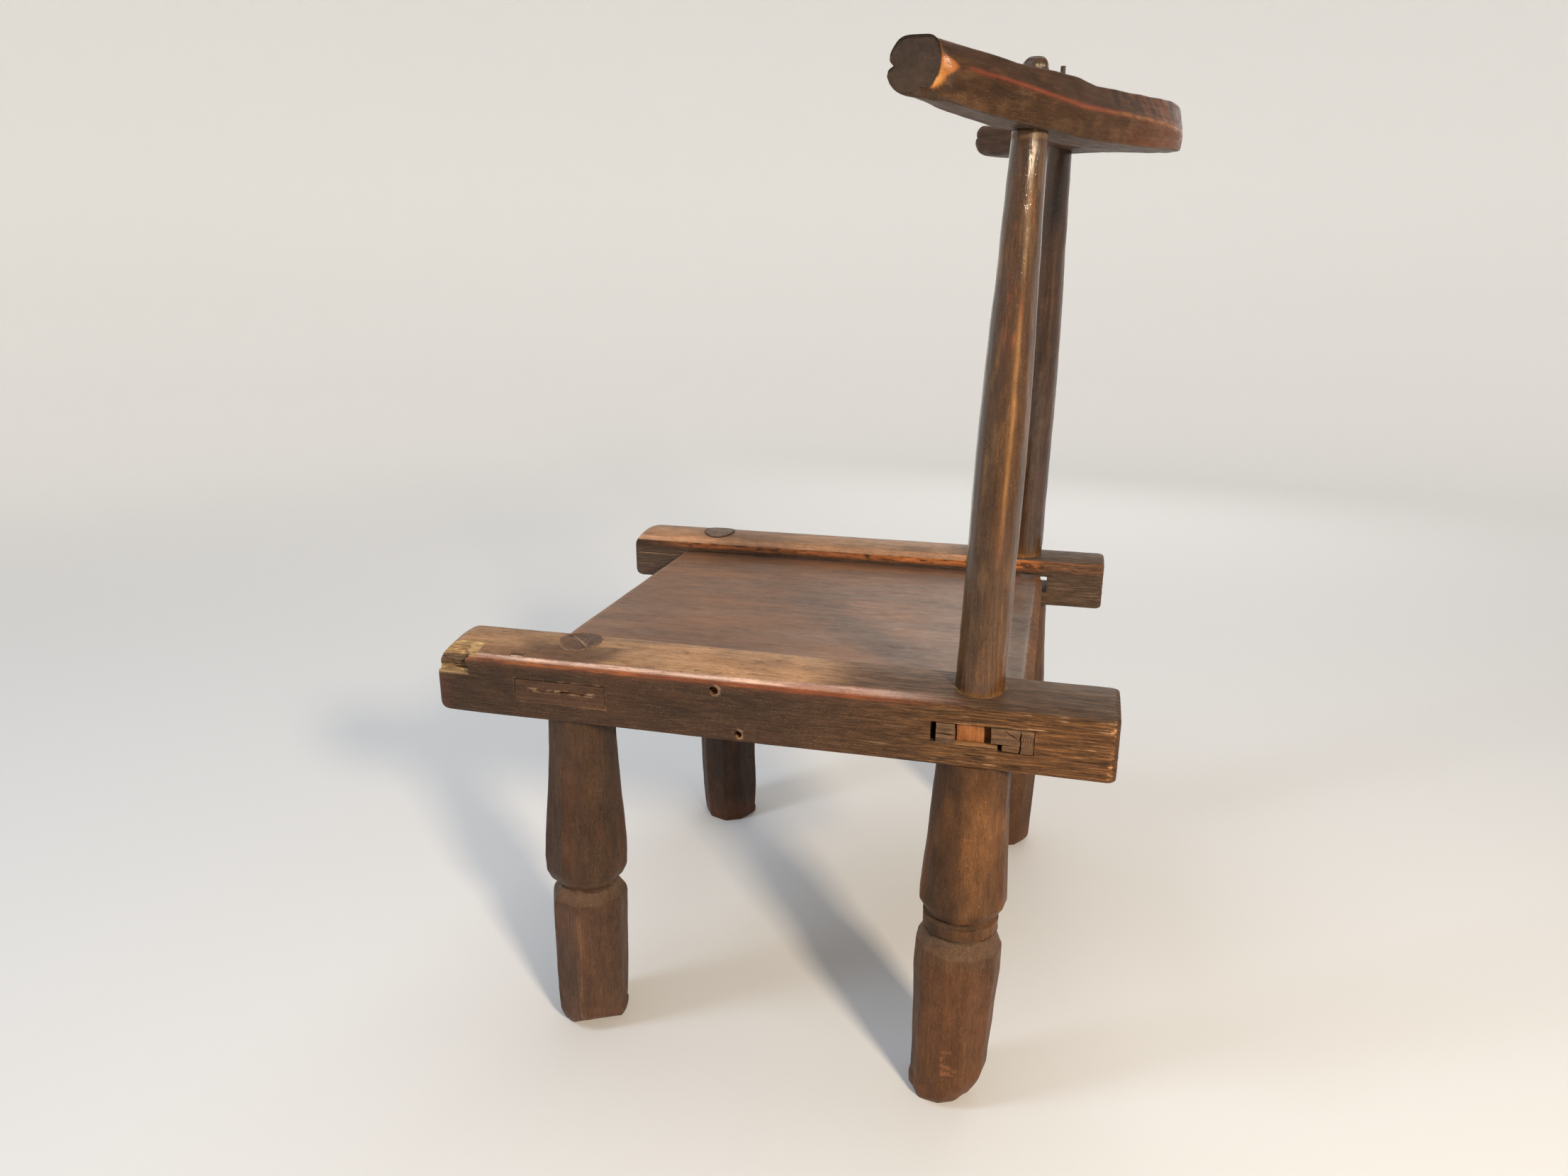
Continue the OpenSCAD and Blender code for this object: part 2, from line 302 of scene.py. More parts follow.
class Paint:
    """The colour and finish of every point of a piece, laid on in coats."""

    def __init__(self, piece, colour, gloss=0.5, streak=0.5, speck=0.5):
        self.piece = piece
        mesh = piece.data
        count = len(mesh.vertices)
        co = np.empty(count * 3, np.float32)
        mesh.vertices.foreach_get("co", co)
        self.at = co.reshape(-1, 3).astype(float) / MM
        normal = np.empty(count * 3, np.float32)
        mesh.vertex_normals.foreach_get("vector", normal)
        self.facing = normal.reshape(-1, 3).astype(float)
        self.x, self.y, self.z = self.at.T
        self.colour = np.tile(np.array(colour, float), (count, 1))
        self.rough = np.full(count, gloss, float)
        self.streak = np.full(count, streak, float)
        self.speck = np.full(count, speck, float)

    def coat(self, amount, colour, rough=None, streak=None, speck=None):
        """Lays a colour, and any finish that is given, over the points by amount."""
        amount = np.clip(amount, 0, 1)
        self.colour += (np.array(colour) - self.colour) * amount[:, None]
        for name, value in (("rough", rough), ("streak", streak), ("speck", speck)):
            if value is not None:
                old = getattr(self, name)
                setattr(self, name, old + (value - old) * amount)

    def blotch(self, size, seed, low=-0.1, high=0.4, octaves=3):
        """A patchy mask from 0 to 1."""
        return rise(noise(self.at, size, seed, octaves), low, high)

    def lengthwise(self):
        """Places with the grain's direction last, for wood that runs from front to rear."""
        return np.stack([self.x, self.z, self.y], 1)

    def finish(self, material, slot, *nodes, grain=None):
        """Stores the coats on the piece and hides the CAD nodes that it replaces."""
        mesh = self.piece.data
        grain = self.at if grain is None else grain
        store = {
            "paint": ("FLOAT_COLOR", "color", np.concatenate([self.colour, np.ones((len(self.at), 1))], 1)),
            "finish": ("FLOAT_COLOR", "color",
                       np.stack([self.rough, self.streak, self.speck, np.ones(len(self.at))], 1)),
            "grain": ("FLOAT_VECTOR", "vector", grain * MM),
        }
        for name, (kind, field, values) in store.items():
            layer = mesh.attributes.new(name, kind, "POINT")
            layer.data.foreach_set(field, np.ascontiguousarray(values, np.float32).ravel())
        mesh.polygons.foreach_set("use_smooth", np.ones(len(mesh.polygons), bool))
        mesh.set_sharp_from_angle(angle=math.radians(38))
        mesh.materials.clear()
        mesh.materials.append(material)
        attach(self.piece, "root")
        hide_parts(*nodes)


def wood(name, fibre=1.0, pores=0.5, bump=0.5, coat=0.0, grain_size=620, run=0.03, shine=0.3):
    """Old hand-worn wood whose colour, streaks, specks and gloss follow the piece's paint."""
    material = bpy.data.materials.new(name)
    material.use_nodes = True
    tree = material.node_tree
    tree.nodes.clear()

    def node(kind, **values):
        made = tree.nodes.new(kind)
        for key, value in values.items():
            setattr(made, key, value)
        return made

    def feed(socket, value):
        """Links a socket to another, or sets its number or colour."""
        if hasattr(value, "is_linked"):
            tree.links.new(value, socket)
        elif socket.type == "RGBA":
            socket.default_value = (*value, 1.0)
        else:
            socket.default_value = value

    def maths(operation, a, b):
        made = node("ShaderNodeMath", operation=operation)
        feed(made.inputs[0], a)
        feed(made.inputs[1], b)
        return made.outputs[0]

    def plus(a, b):
        return maths("ADD", a, b)

    def times(a, b):
        return maths("MULTIPLY", a, b)

    def around(a, middle):
        return maths("SUBTRACT", a, middle)

    def ranged(value, low, high):
        made = node("ShaderNodeMapRange", interpolation_type="SMOOTHSTEP")
        feed(made.inputs["Value"], value)
        made.inputs["From Min"].default_value = low
        made.inputs["From Max"].default_value = high
        return made.outputs["Result"]

    def pattern(stretch, scale, detail, roughness=0.55, distortion=0.0):
        """Noise that is drawn out along the grain by stretch."""
        spread = node("ShaderNodeVectorMath", operation="MULTIPLY")
        feed(spread.inputs[0], grain)
        spread.inputs[1].default_value = (1, 1, stretch)
        made = node("ShaderNodeTexNoise")
        for name, value in (("Vector", spread.outputs[0]), ("Scale", scale), ("Detail", detail),
                            ("Roughness", roughness), ("Distortion", distortion)):
            feed(made.inputs[name], value)
        return made.outputs["Fac"]

    def mixed(amount, a, b, blend="MIX"):
        made = node("ShaderNodeMix", data_type="RGBA", blend_type=blend)
        for index, value in ((0, amount), (6, a), (7, b)):
            feed(made.inputs[index], value)
        return made.outputs[2]

    def tinted(a, b):
        return mixed(1.0, a, b, "MULTIPLY")

    paint = node("ShaderNodeAttribute", attribute_name="paint").outputs["Color"]
    grain = node("ShaderNodeAttribute", attribute_name="grain").outputs["Vector"]
    split = node("ShaderNodeSeparateColor")
    feed(split.inputs[0], node("ShaderNodeAttribute", attribute_name="finish").outputs["Color"])
    rough, streak, speck = split.outputs[0], split.outputs[1], split.outputs[2]

    broad = pattern(0.22, 42, 4)
    mottle = pattern(0.5, 150, 6, 0.68)
    streaks = ranged(pattern(run, grain_size, 5, 0.62, 0.2), 0.32, 0.68)
    fine = ranged(pattern(0.08, 1900, 3, 0.65), 0.25, 0.75)
    pits = pattern(0.16, 2100, 2, 0.5)
    grit = pattern(0.4, 1900, 3, 0.7)
    cluster = ranged(pattern(0.3, 170, 4, 0.6), 0.30, 0.66)
    dents = pattern(0.5, 260, 4, 0.6)

    strength = times(streak, fibre)
    shade = times(around(maths("POWER", streaks, 1.7), 0.36), times(strength, 1.15))
    shade = plus(shade, times(around(fine, 0.5), plus(times(speck, 0.3), 0.12)))
    shade = plus(shade, around(broad, 0.5))
    shade = plus(shade, times(around(mottle, 0.5), 1.1))
    bright = maths("MAXIMUM", plus(shade, 1.0), 0.12)
    grey = node("ShaderNodeCombineColor")
    for socket in grey.inputs:
        feed(socket, bright)
    colour = tinted(paint, grey.outputs[0])
    warm = ranged(broad, 0.35, 0.72)
    colour = mixed(times(warm, 0.35), colour, tinted(colour, (1.2, 0.96, 0.74)))
    dark = times(ranged(pits, 0.41, 0.33), pores)
    colour = mixed(dark, colour, tinted(colour, (0.35, 0.32, 0.30)))
    pale = times(ranged(grit, 0.57, 0.67), times(speck, times(cluster, 0.8)))
    colour = mixed(pale, colour, mixed(1.0, tinted(colour, (1.7, 1.6, 1.5)), (0.09, 0.062, 0.038), "ADD"))

    gloss = plus(rough, times(around(dents, 0.5), 0.3))
    gloss = plus(gloss, times(around(streaks, 0.5), -0.12))
    gloss = maths("MINIMUM", maths("MAXIMUM", gloss, 0.14), 0.95)

    height = plus(times(streaks, strength), times(dents, 0.8))
    height = plus(height, times(fine, times(speck, 0.5)))
    height = plus(height, times(ranged(pits, 0.41, 0.30), -0.4))
    relief = node("ShaderNodeBump")
    relief.inputs["Strength"].default_value = bump
    relief.inputs["Distance"].default_value = 0.0006
    feed(relief.inputs["Height"], height)

    surface = node("ShaderNodeBsdfPrincipled")
    for name, value in (("Specular IOR Level", shine), ("Coat Roughness", 0.14), ("Base Color", colour),
                        ("Coat Weight", times(ranged(rough, 0.32, 0.15), coat)), ("Roughness", gloss),
                        ("Normal", relief.outputs["Normal"]), ("Coat Normal", relief.outputs["Normal"])):
        feed(surface.inputs[name], value)
    feed(node("ShaderNodeOutputMaterial").inputs["Surface"], surface.outputs[0])
    return material


rail_wood = wood("worn_rail_wood", pores=0.55, bump=0.7, coat=0.5, grain_size=1000, run=0.045, shine=0.22)
seat_wood = wood("smooth_seat_wood", fibre=0.7, pores=0.25, bump=0.2, shine=0.25)
leg_wood = wood("hewn_leg_wood", fibre=0.8, pores=0.6, bump=0.6, run=0.06, shine=0.2)
post_wood = wood("polished_post_wood", fibre=0.9, pores=0.5, bump=0.2, coat=0.8, run=0.05, shine=0.2)
crest_wood = wood("crest_wood_satin", fibre=0.6, pores=0.45, bump=0.4, coat=0.4, run=0.08, shine=0.13)
pale_wood = wood("wedge_wood", fibre=1.0, pores=0.4, bump=0.5)
stub_iron = wood("rusted_stub", fibre=0.3, pores=0.6, bump=0.6)


# ---------------------------------------------------------------- where the legs and posts stand
class Limb:
    """A leg, with its post if it has one, along two straight lines."""

    def __init__(self, foot, head, top=None):
        self.foot, self.head = np.array(foot, float), np.array(head, float)
        self.top = None if top is None else np.array(top, float)

    def at(self, z):
        """Middle of the limb at each height."""
        z = np.asarray(z, float)[..., None]

        def on_line(start, end):
            return start + (end - start) * ((z - start[2]) / (end[2] - start[2]))

        low = on_line(self.foot, self.head)
        return low if self.top is None else np.where(z > self.head[2], on_line(self.head, self.top), low)


front_left = Limb(mount_mm("front_left_foot"), (rail_mid - 6, -128, rail_bottom))
front_right = Limb(mount_mm("front_right_foot"), (-rail_mid + 6, -136, rail_bottom))
rear_left = Limb(mount_mm("rear_left_foot"), (rail_mid - 1, 118.5, rail_bottom),
                 (rail_mid - 12, 127.5, 564))
rear_right = Limb(mount_mm("rear_right_foot"), (-rail_mid + 1, 130.5, rail_bottom),
                  (-rail_mid + 24, 137, 580))


# ---------------------------------------------------------------- side rails
def rail_crown(out, y, side):
    """Height of a rail's top above its middle; out is the distance outwards from its middle."""
    if side > 0:
        inner = 24.3 - 2.6 * rise(y, -150, 200) - 0.8 * rise(y, 20, 200)
        return inner - 5.4 * ((out + 15) / 34) ** 2 * (out > -15) - 0.012 * (out + 15) ** 2 * (out < -15)
    return 20.8 - 0.009 * (out + 1) ** 2 - 0.8 * rise(y, -100, 190)


def rail_solid(name, side):
    """A rail swept from front to rear, hewn uneven, rounded at both ends."""
    seed = 11 if side > 0 else 12
    y = np.concatenate([rail_front + 16 * (1 - np.cos(np.linspace(0, math.pi / 2, 26)[:-1])),
                        spans((rail_front + 16, rail_front + 40, 0.8), (rail_front + 40, -96, 1.15),
                              (-96, 88, 1.5), (88, 158, 1.1), (158, rail_rear - 6, 1.2)),
                        rail_rear - 6 * (1 - np.cos(np.linspace(math.pi / 2, 0, 14)[1:]))])
    # outward, upper arris, top facets, inner arris, inward, below
    angles = np.radians([0, 32, 68, 80, 90, 100, 112, 150, 180, 215, 270, 325])
    mid = rail_bottom + (rail_top - rail_bottom) / 2
    base = [rail_half, 26.4, 0, 0, 0, 0, 0, 26.6, rail_half, 27.8, mid - rail_bottom, 27.9]
    near_front = y - rail_front
    near_rear = rail_rear - y
    dist = np.tile(np.array(base, float), (len(y), 1))
    for k, angle in enumerate(angles):
        if base[k] == 0:
            out = np.linspace(-rail_half, rail_half, 81)
            height = rail_crown(out[None], y[:, None], side)
            dist[:, k] = (out[None] * math.cos(angle) + height * math.sin(angle)).max(1) + 0.12
    wave = waves(y, 46, seed, len(angles), 9.0)
    dist += wave * np.array([0.35, 0.5, 0.3, 0.25, 0.25, 0.25, 0.3, 0.6, 0.4, 0.5, 0.0, 0.4])
    front = np.array([4, 5, 13, 14, 14, 14, 13, 5, 4, 4, 8, 4], float)
    rear = np.array([2.6, 2.6, 2.2, 2.0, 2.0, 2.0, 2.0, 2.2, 2.4, 2.2, 2.0, 2.4])
    dist -= end_wear(near_front[:, None], front[None]) + end_wear(near_rear[:, None], rear[None], 5.5)
    turn = even_turns(angles, dist[len(y) // 2], 200, 0.55)
    r = facet_radius(turn, angles, dist, 0.55)
    out = side * r * np.cos(turn)
    up = r * np.sin(turn)
    rings = np.stack([side * rail_mid + out, np.broadcast_to(y[:, None], r.shape), mid + up], -1)
    rings = capped(rings)
    outward = rings - np.stack([np.full(rings.shape[:2], side * rail_mid), rings[..., 1],
                                np.full(rings.shape[:2], mid)], -1)
    outward /= np.maximum(np.linalg.norm(outward, axis=-1, keepdims=True), 1e-6)
    relief = 0.16 * noise(rings, (4, 26, 4), seed + 40, 3) + 0.10 * noise(rings, (9, 9, 9), seed + 50, 2)
    weather = rise(rings[..., 1], 0, 150) * (0.35 + 0.65 * rise(np.abs(outward[..., 0]), 0.3, 0.8))
    relief = relief + weather * 0.42 * np.minimum(noise(rings, (1.7, 30, 1.7), seed + 45, 2) + 0.1, 0.25)
    relief = relief * rise(outward[..., 2], -0.97, -0.8)
    rings = rings + outward * relief[..., None]
    rough_end = noise(rings, (2.2, 5, 2.2), seed + 60, 2) * 0.45
    rings[:9, :, 1] += rough_end[:9]
    rings[-9:, :, 1] += 0.5 * rough_end[-9:]
    return tube(name, rings)


def mortise(side, start, end, low, high, seed):
    """A cutter for a mortise through a rail."""
    ends = sorted([side * (inner_face - 6), side * (outer_face + 6)])
    return block("cutter", (ends[0], start, low), (ends[1], end, high), (2.0, 1.2, 1.2), 0.4, 0.22, seed)


def hole(limb, radius, seed, low=None, high=None):
    """A cutter for the hole that a limb makes."""
    low = rail_bottom - 8 if low is None else low
    high = rail_top + 12 if high is None else high
    return peg("cutter", limb.at(low), limb.at(high), radius, 0.12, seed, 72)


def torn_corner():
    """The jagged chunk that has broken off the near rail's upper front corner."""
    def tear(p):
        fibre = noise(p, (5, 40, 3.2), 301, 2)
        lump = noise(p, (7, 9, 6), 302, 3)
        shift = p.copy()
        inner = p[:, 0] < outer_face - 2
        shift[:, 0] += np.where(inner, 2.4 * lump + 1.2 * fibre, 0)
        back = p[:, 1] > rail_front + 20
        shift[:, 1] += np.where(back, 3.2 * noise(p, (3, 3, 2.2), 303, 2) - 1.5, 0)
        below = p[:, 2] < rail_top - 15
        shift[:, 2] += np.where(below, 0.25 * noise(p, (3, 8, 3), 304, 2), 0)
        return shift
    return block("cutter", (outer_face - 6.5, rail_front - 6, rail_top - 16.6),
                 (outer_face + 6, rail_front + 24, rail_top + 8.5), (0.7, 0.7, 0.7), 0.2, 0.0, 300, tear)


# where the mortises start and end along a rail, and the radius of the holes for legs and posts
FRONT_MORTISE, REAR_MORTISE = (-160.3, -100.7), (95.0, 152.0)
FRONT_BORE, REAR_BORE = 13.75, 14.1

near_rail = rail_solid("left_side_rail_worn", 1)
slot_low, slot_high = seat_bottom - 0.2, seat_top + 0.2
ledge = seat_bottom + 2.2  # packed dirt and splinters have raised the floor of the rear mortise
carve(near_rail, [
    mortise(1, *FRONT_MORTISE, slot_low, slot_high, 21),
    mortise(1, *REAR_MORTISE, ledge, slot_high + 0.1, 22),
    mortise(1, 132.2, 152.0, slot_low - 0.2, ledge + 2, 28),
    hole(front_left, FRONT_BORE, 23),
    hole(rear_left, REAR_BORE, 24),
    peg("cutter", (outer_face - 9, -34, 261), (outer_face + 4, -31, 262.4), 2.7, 0.35, 25, 24),
    peg("cutter", (outer_face - 9, -18, 235.0), (outer_face + 4, -16.6, 236.3), 2.2, 0.3, 26, 24),
    blade([(179.6, -45.8, 270.6), (178.2, -42.6, 271.9), (176.5, -39.8, 272.9)], 0.7, 0.9, (0.5, 0, 0.86)),
    blade([(180.6, -33.6, 269.9), (178.6, -29.4, 271.8), (176.0, -25.6, 273.1)], 0.8, 1.0, (0.5, 0, 0.86)),
    blade([(149.5, -44.6, 275.6), (150.5, -41, 275.8), (151.0, -37.6, 275.8)], 0.9, 0.8, (0, 0, 1)),
    torn_corner(),
    block("cutter", (outer_face - 3.4, -163, rail_top - 2.5), (outer_face + 3, -154.5, rail_top + 4),
          (0.6, 0.6, 0.6), 1.0, 0.9, 27),
])

far_rail = rail_solid("right_side_rail_worn", -1)
carve(far_rail, [
    mortise(-1, *FRONT_MORTISE, slot_low, slot_high, 31),
    mortise(-1, 95.0, 151.4, slot_low - 1.0, slot_high - 1.5, 32),
    hole(front_right, FRONT_BORE, 33),
    hole(rear_right, REAR_BORE, 34),
    blade(wander((-inner_face, -213, 243.5), (-inner_face, -120, 243.0), 0.4, 35), 1.1, 1.6, (1, 0, 0)),
    blade(wander((-inner_face, -214, 253.0), (-inner_face, -112, 252.4), 0.4, 36), 1.0, 1.4, (1, 0, 0)),
])


def near_rail_paint():
    """Dark worn wood: tan on top, red and polished along the upper edge under a painted highlight, weathered
    at the rear, with painted glints on the worn rear end.
    """
    p = Paint(near_rail, BROWN, 0.52, 0.45, 1.4)
    out = p.x - rail_mid
    up = p.z - rail_bottom
    top = rise(p.facing[:, 2], 0.35, 0.75)
    side = rise(p.facing[:, 0], 0.4, 0.8)
    p.coat(p.blotch((40, 60, 20), 61) * 0.5, DARK)
    p.coat(p.blotch((16, 30, 12), 62) * 0.12, RUSSET)
    p.coat(rise(p.y, 0, 130) * 0.85, (0.128, 0.058, 0.020), 0.6, 1.2, 0.7)
    ridges = rise(p.y, 30, 120) * side * p.blotch((0.9, 16, 0.9), 65, 0.38, 0.54, 2)
    p.coat(ridges * 0.75, (0.38, 0.23, 0.125), 0.42)
    p.coat(rise(p.y, 30, 120) * side * p.blotch((0.9, 20, 0.9), 60, 0.35, 0.5, 2) * 0.7,
           (0.030, 0.015, 0.008), 0.7)
    worn = top * rise(p.y, 92, 10)
    p.coat(worn, (0.33, 0.19, 0.10), 0.42, 0.3, 0.25)
    p.coat(worn * band(p.y, -95, 10, 45) * 0.6, (0.44, 0.26, 0.14))
    p.coat(worn * p.blotch((10, 34, 10), 63, 0.0, 0.5) * 0.45, (0.14, 0.072, 0.040))
    p.coat(worn * p.blotch((1.6, 9, 4), 68, 0.35, 0.55) * 0.6, (0.085, 0.045, 0.028))
    p.coat(top * rise(p.y, 15, 85), (0.082, 0.046, 0.026), 0.40, 0.8, 0.4)
    p.coat(top * rise(p.y, 20, 90) * rise(out, 4, -14) * 0.6, (0.135, 0.085, 0.056))
    # the dark ring round the front tenon
    around = np.hypot(p.x - front_left.at(rail_top)[0], (p.y - front_left.at(rail_top)[1]) * 0.8)
    p.coat(top * band(around, 12, 22, 12) * rise(out, -8, 8) * 0.75, (0.075, 0.042, 0.027))
    p.coat(worn * rise(out, 4, 13) * rise(p.y, -60, -130) * 0.6, (0.135, 0.070, 0.038))
    # the polished upper edge, worn red, with a painted highlight along its top
    arris = band(up, 35.4, 37.6, 1.0) * rise(out, 8, 17) * rise(p.y, 110, 45)
    p.coat(band(up, 33.5, 38.5, 2.0) * rise(out, 8, 17) * rise(p.y, 110, 45) * 0.6,
           (0.085, 0.038, 0.020), 0.35, 0.3, 0.3)
    p.coat(arris * 0.85, (0.155, 0.052, 0.024), 0.24, 0.25, 0.15)
    p.coat(arris * rise(p.y, -110, -20) * 0.6, RED)
    p.coat(arris * p.blotch((8, 22, 3), 64, 0.0, 0.5) * 0.4, ORANGE)
    # painted highlight: a pale thin line along the top of the upper edge, brightest in broken stretches
    p.coat(band(up, 37.9, 39.5, 0.8) * rise(out, 10, 16) * rise(p.y, 130, 60),
           (0.32, 0.175, 0.125), 0.15, 0.15, 0.05)
    broken = p.blotch((6, 30, 2), 70, -0.5, 0.2)
    p.coat(band(up, 38.3, 39.4, 0.6) * rise(out, 10, 16) * rise(p.y, 100, 20) * broken * 0.9,
           (0.68, 0.48, 0.40), 0.12, 0.1, 0.05)
    # the two ends
    p.coat(rise(p.y, rail_front + 13, rail_front + 2) * 0.6, (0.10, 0.038, 0.024), 0.42, 0.3, 0.4)
    p.coat(rise(p.y, rail_rear - 3, rail_rear - 1.6) * 0.8, (0.062, 0.030, 0.015), 0.5, 0.4)
    # worn orange wood along the outer edge of the rear end, with painted glints on it
    p.coat(band(p.y, rail_rear - 4.6, rail_rear - 2.6, 0.7) * p.blotch((3, 4, 1.4), 69, 0.0, 0.2) * side,
           (0.46, 0.21, 0.08), 0.22, 0.7, 0.2)
    # the torn corner
    torn = (rise(p.x, outer_face + 0.4, outer_face - 0.9) * band(p.x, outer_face - 12, outer_face, 1)
            * band(p.y, rail_front - 2, rail_front + 29, 0.6)
            * band(p.z, rail_top - 17.2, rail_top + 1.5, 0.5))
    torn = torn * rise(np.abs(p.facing[:, 2]) + p.facing[:, 0] * 0.5, 0.1, 0.3)
    flaky = p.blotch((4, 7, 3), 66, -0.1, 0.2)
    p.coat(torn, (0.15, 0.098, 0.062), 0.8, 0.9, 0.9)
    p.coat(torn * p.blotch((3, 6, 2), 71, 0.0, 0.3) * 0.7, (0.060, 0.034, 0.020))
    p.coat(torn * np.maximum(rise(p.z, rail_top - 7.0, rail_top - 5.8) * (0.55 + 0.45 * flaky),
                             rise(p.z, rail_top - 13.0, rail_top - 14.6) * 0.85),
           (0.46, 0.31, 0.15), 0.8, 0.9, 0.3)
    under = rise(p.y, rail_front + 8, rail_front + 12)
    p.coat(torn * band(p.z, rail_top - 14.9, rail_top - 14.3, 0.5) * under, DARK)
    # pale dust round the mortises, and painted shade on the walls inside their openings
    for start, end, base in ((*FRONT_MORTISE, slot_low), (*REAR_MORTISE, ledge)):
        gap = np.maximum(np.maximum(start - p.y, p.y - end), np.maximum(base - p.z, p.z - slot_high))
        line = band(gap, -0.2, 0.6, 0.4) * side * p.blotch((3, 5, 3), 67, 0.05, 0.3)
        p.coat(line * 0.6, (0.20, 0.13, 0.075), 0.7)
        # painted shade: the walls inside each opening, behind the outer face, are darkened
        p.coat(rise(gap, 0, -0.8) * rise(p.x, outer_face - 0.4, outer_face - 2.5) * 0.8, DARK, 0.8)
    dusty = rise(p.facing[:, 2], 0.4, 0.8) * band(p.z, ledge - 1, ledge + 1.2, 0.5) * band(p.y, 107, 134, 2)
    p.coat(dusty * rise(p.x, outer_face - 14, outer_face - 8), (0.32, 0.18, 0.08), 0.8, 0.3, 0.6)
    # the rims of the two small holes, pale on their rear side as a painted highlight
    for hole_y, hole_z, size in ((-31.3, 262.2, 2.7), (-16.9, 236.2, 2.2)):
        away = np.hypot(p.y - hole_y, p.z - hole_z)
        p.coat(side * band(away, size, size + 0.8, 0.5) * rise(p.y - hole_y, -1, 1.5) * 0.8,
               (0.30, 0.19, 0.11), 0.5)
        p.coat(rise(away, size + 0.5, size) * rise(p.x, outer_face - 0.6, outer_face - 1.6),
               (0.16, 0.08, 0.035))
    # the pale rim round the post
    rim = np.hypot(p.x - rear_left.at(rail_top)[0], p.y - rear_left.at(rail_top)[1])
    p.coat(top * band(rim, 13.6, 14.7, 0.4) * rise(p.x, rail_mid - 9, rail_mid) * 0.6, (0.26, 0.16, 0.08))
    p.finish(rail_wood, "rail_wood", "left_side_rail", grain=p.lengthwise())


def far_rail_paint():
    """Dark wood that is tan on top and worn orange along its inner upper edge."""
    p = Paint(far_rail, BROWN, 0.5, 0.6, 0.6)
    up = p.z - rail_bottom
    top = rise(p.facing[:, 2], 0.45, 0.8)
    inner = rise(p.facing[:, 0], 0.3, 0.7)
    p.coat(p.blotch((30, 60, 14), 71) * 0.6, DARK)
    p.coat(inner * rise(up, 30, 22) * 0.8, (0.075, 0.050, 0.037), 0.5, 0.9, 0.4)
    worn = inner * rise(up, 27.5, 31.5) * rise(p.y, -208, -150)
    p.coat(worn * 0.9, (0.27, 0.095, 0.035), 0.4, 0.5, 0.2)
    p.coat(worn * rise(p.y, -40, 40) * 0.85, ORANGE, 0.36, 0.5, 0.2)
    pits = p.blotch((3, 8, 1.6), 72, 0.05, 0.2)
    p.coat(worn * pits * band(up, 27, 34.5, 1.5) * 0.9, (0.055, 0.024, 0.011), 0.6)
    p.coat(top, (0.32, 0.185, 0.105), 0.42, 0.4, 0.3)
    p.coat(top * p.blotch((10, 40, 10), 73, 0.0, 0.5) * 0.5, (0.14, 0.082, 0.052))
    p.coat(top * rise(p.y, 62, 96), (0.080, 0.055, 0.042), 0.45, 0.6, 0.4)
    p.coat(rise(p.y, 138, 152) * 0.8, (0.085, 0.052, 0.032), 0.55, 0.9, 0.4)
    edge = band(up, 34.5, 37.5, 1.3) * rise(-rail_mid + 10 - p.x, 0, -5) * rise(p.y, 125, 60)
    p.coat(edge, (0.45, 0.27, 0.17), 0.26, 0.2, 0.1)
    p.finish(rail_wood, "rail_wood", "right_side_rail", grain=p.lengthwise())


near_rail_paint()
far_rail_paint()


# ---------------------------------------------------------------- seat board
def seat_shape(p):
    """Bends the seat's box: slow waves on top, a ragged rear edge and an uneven front edge."""
    q = p.copy()
    upper = rise(p[:, 2], seat_bottom + 2, seat_top - 1)
    rear = rise(p[:, 1], seat_high[1] - 5.5, seat_high[1] - 0.5)
    q[:, 2] -= upper * rear * (3.6 + 1.2 * noise(p, (9, 5, 5), 83, 3))
    q[:, 2] += 0.35 * noise(p * (1, 1, 0), (70, 45, 1), 81, 3) * upper - 0.3 * upper
    q[:, 1] += 0.9 * noise(p * (1, 0, 0), (38, 1, 1), 82, 3) * rise(p[:, 1], seat_low[1] + 8, seat_low[1])
    return q


seat = block("seat_board_worn", (-inner_face + 0.1, seat_low[1], seat_bottom),
             (inner_face - 0.1, seat_high[1], seat_top), (1.8, 1.6, 1.4), 1.2, 0.1, 80, seat_shape)


def tongue(side, start, end, seed, back=0.0, drop=0.1):
    """A solid for one of the seat's tongues, through a rail to its outer face."""
    ends = sorted([side * (inner_face - 6), side * (outer_face + 0.05 - back)])
    return block("cutter", (ends[0], start, seat_bottom + drop), (ends[1], end, seat_top - 0.2),
                 (1.2, 0.9, 0.9), 0.35, 0.22, seed)


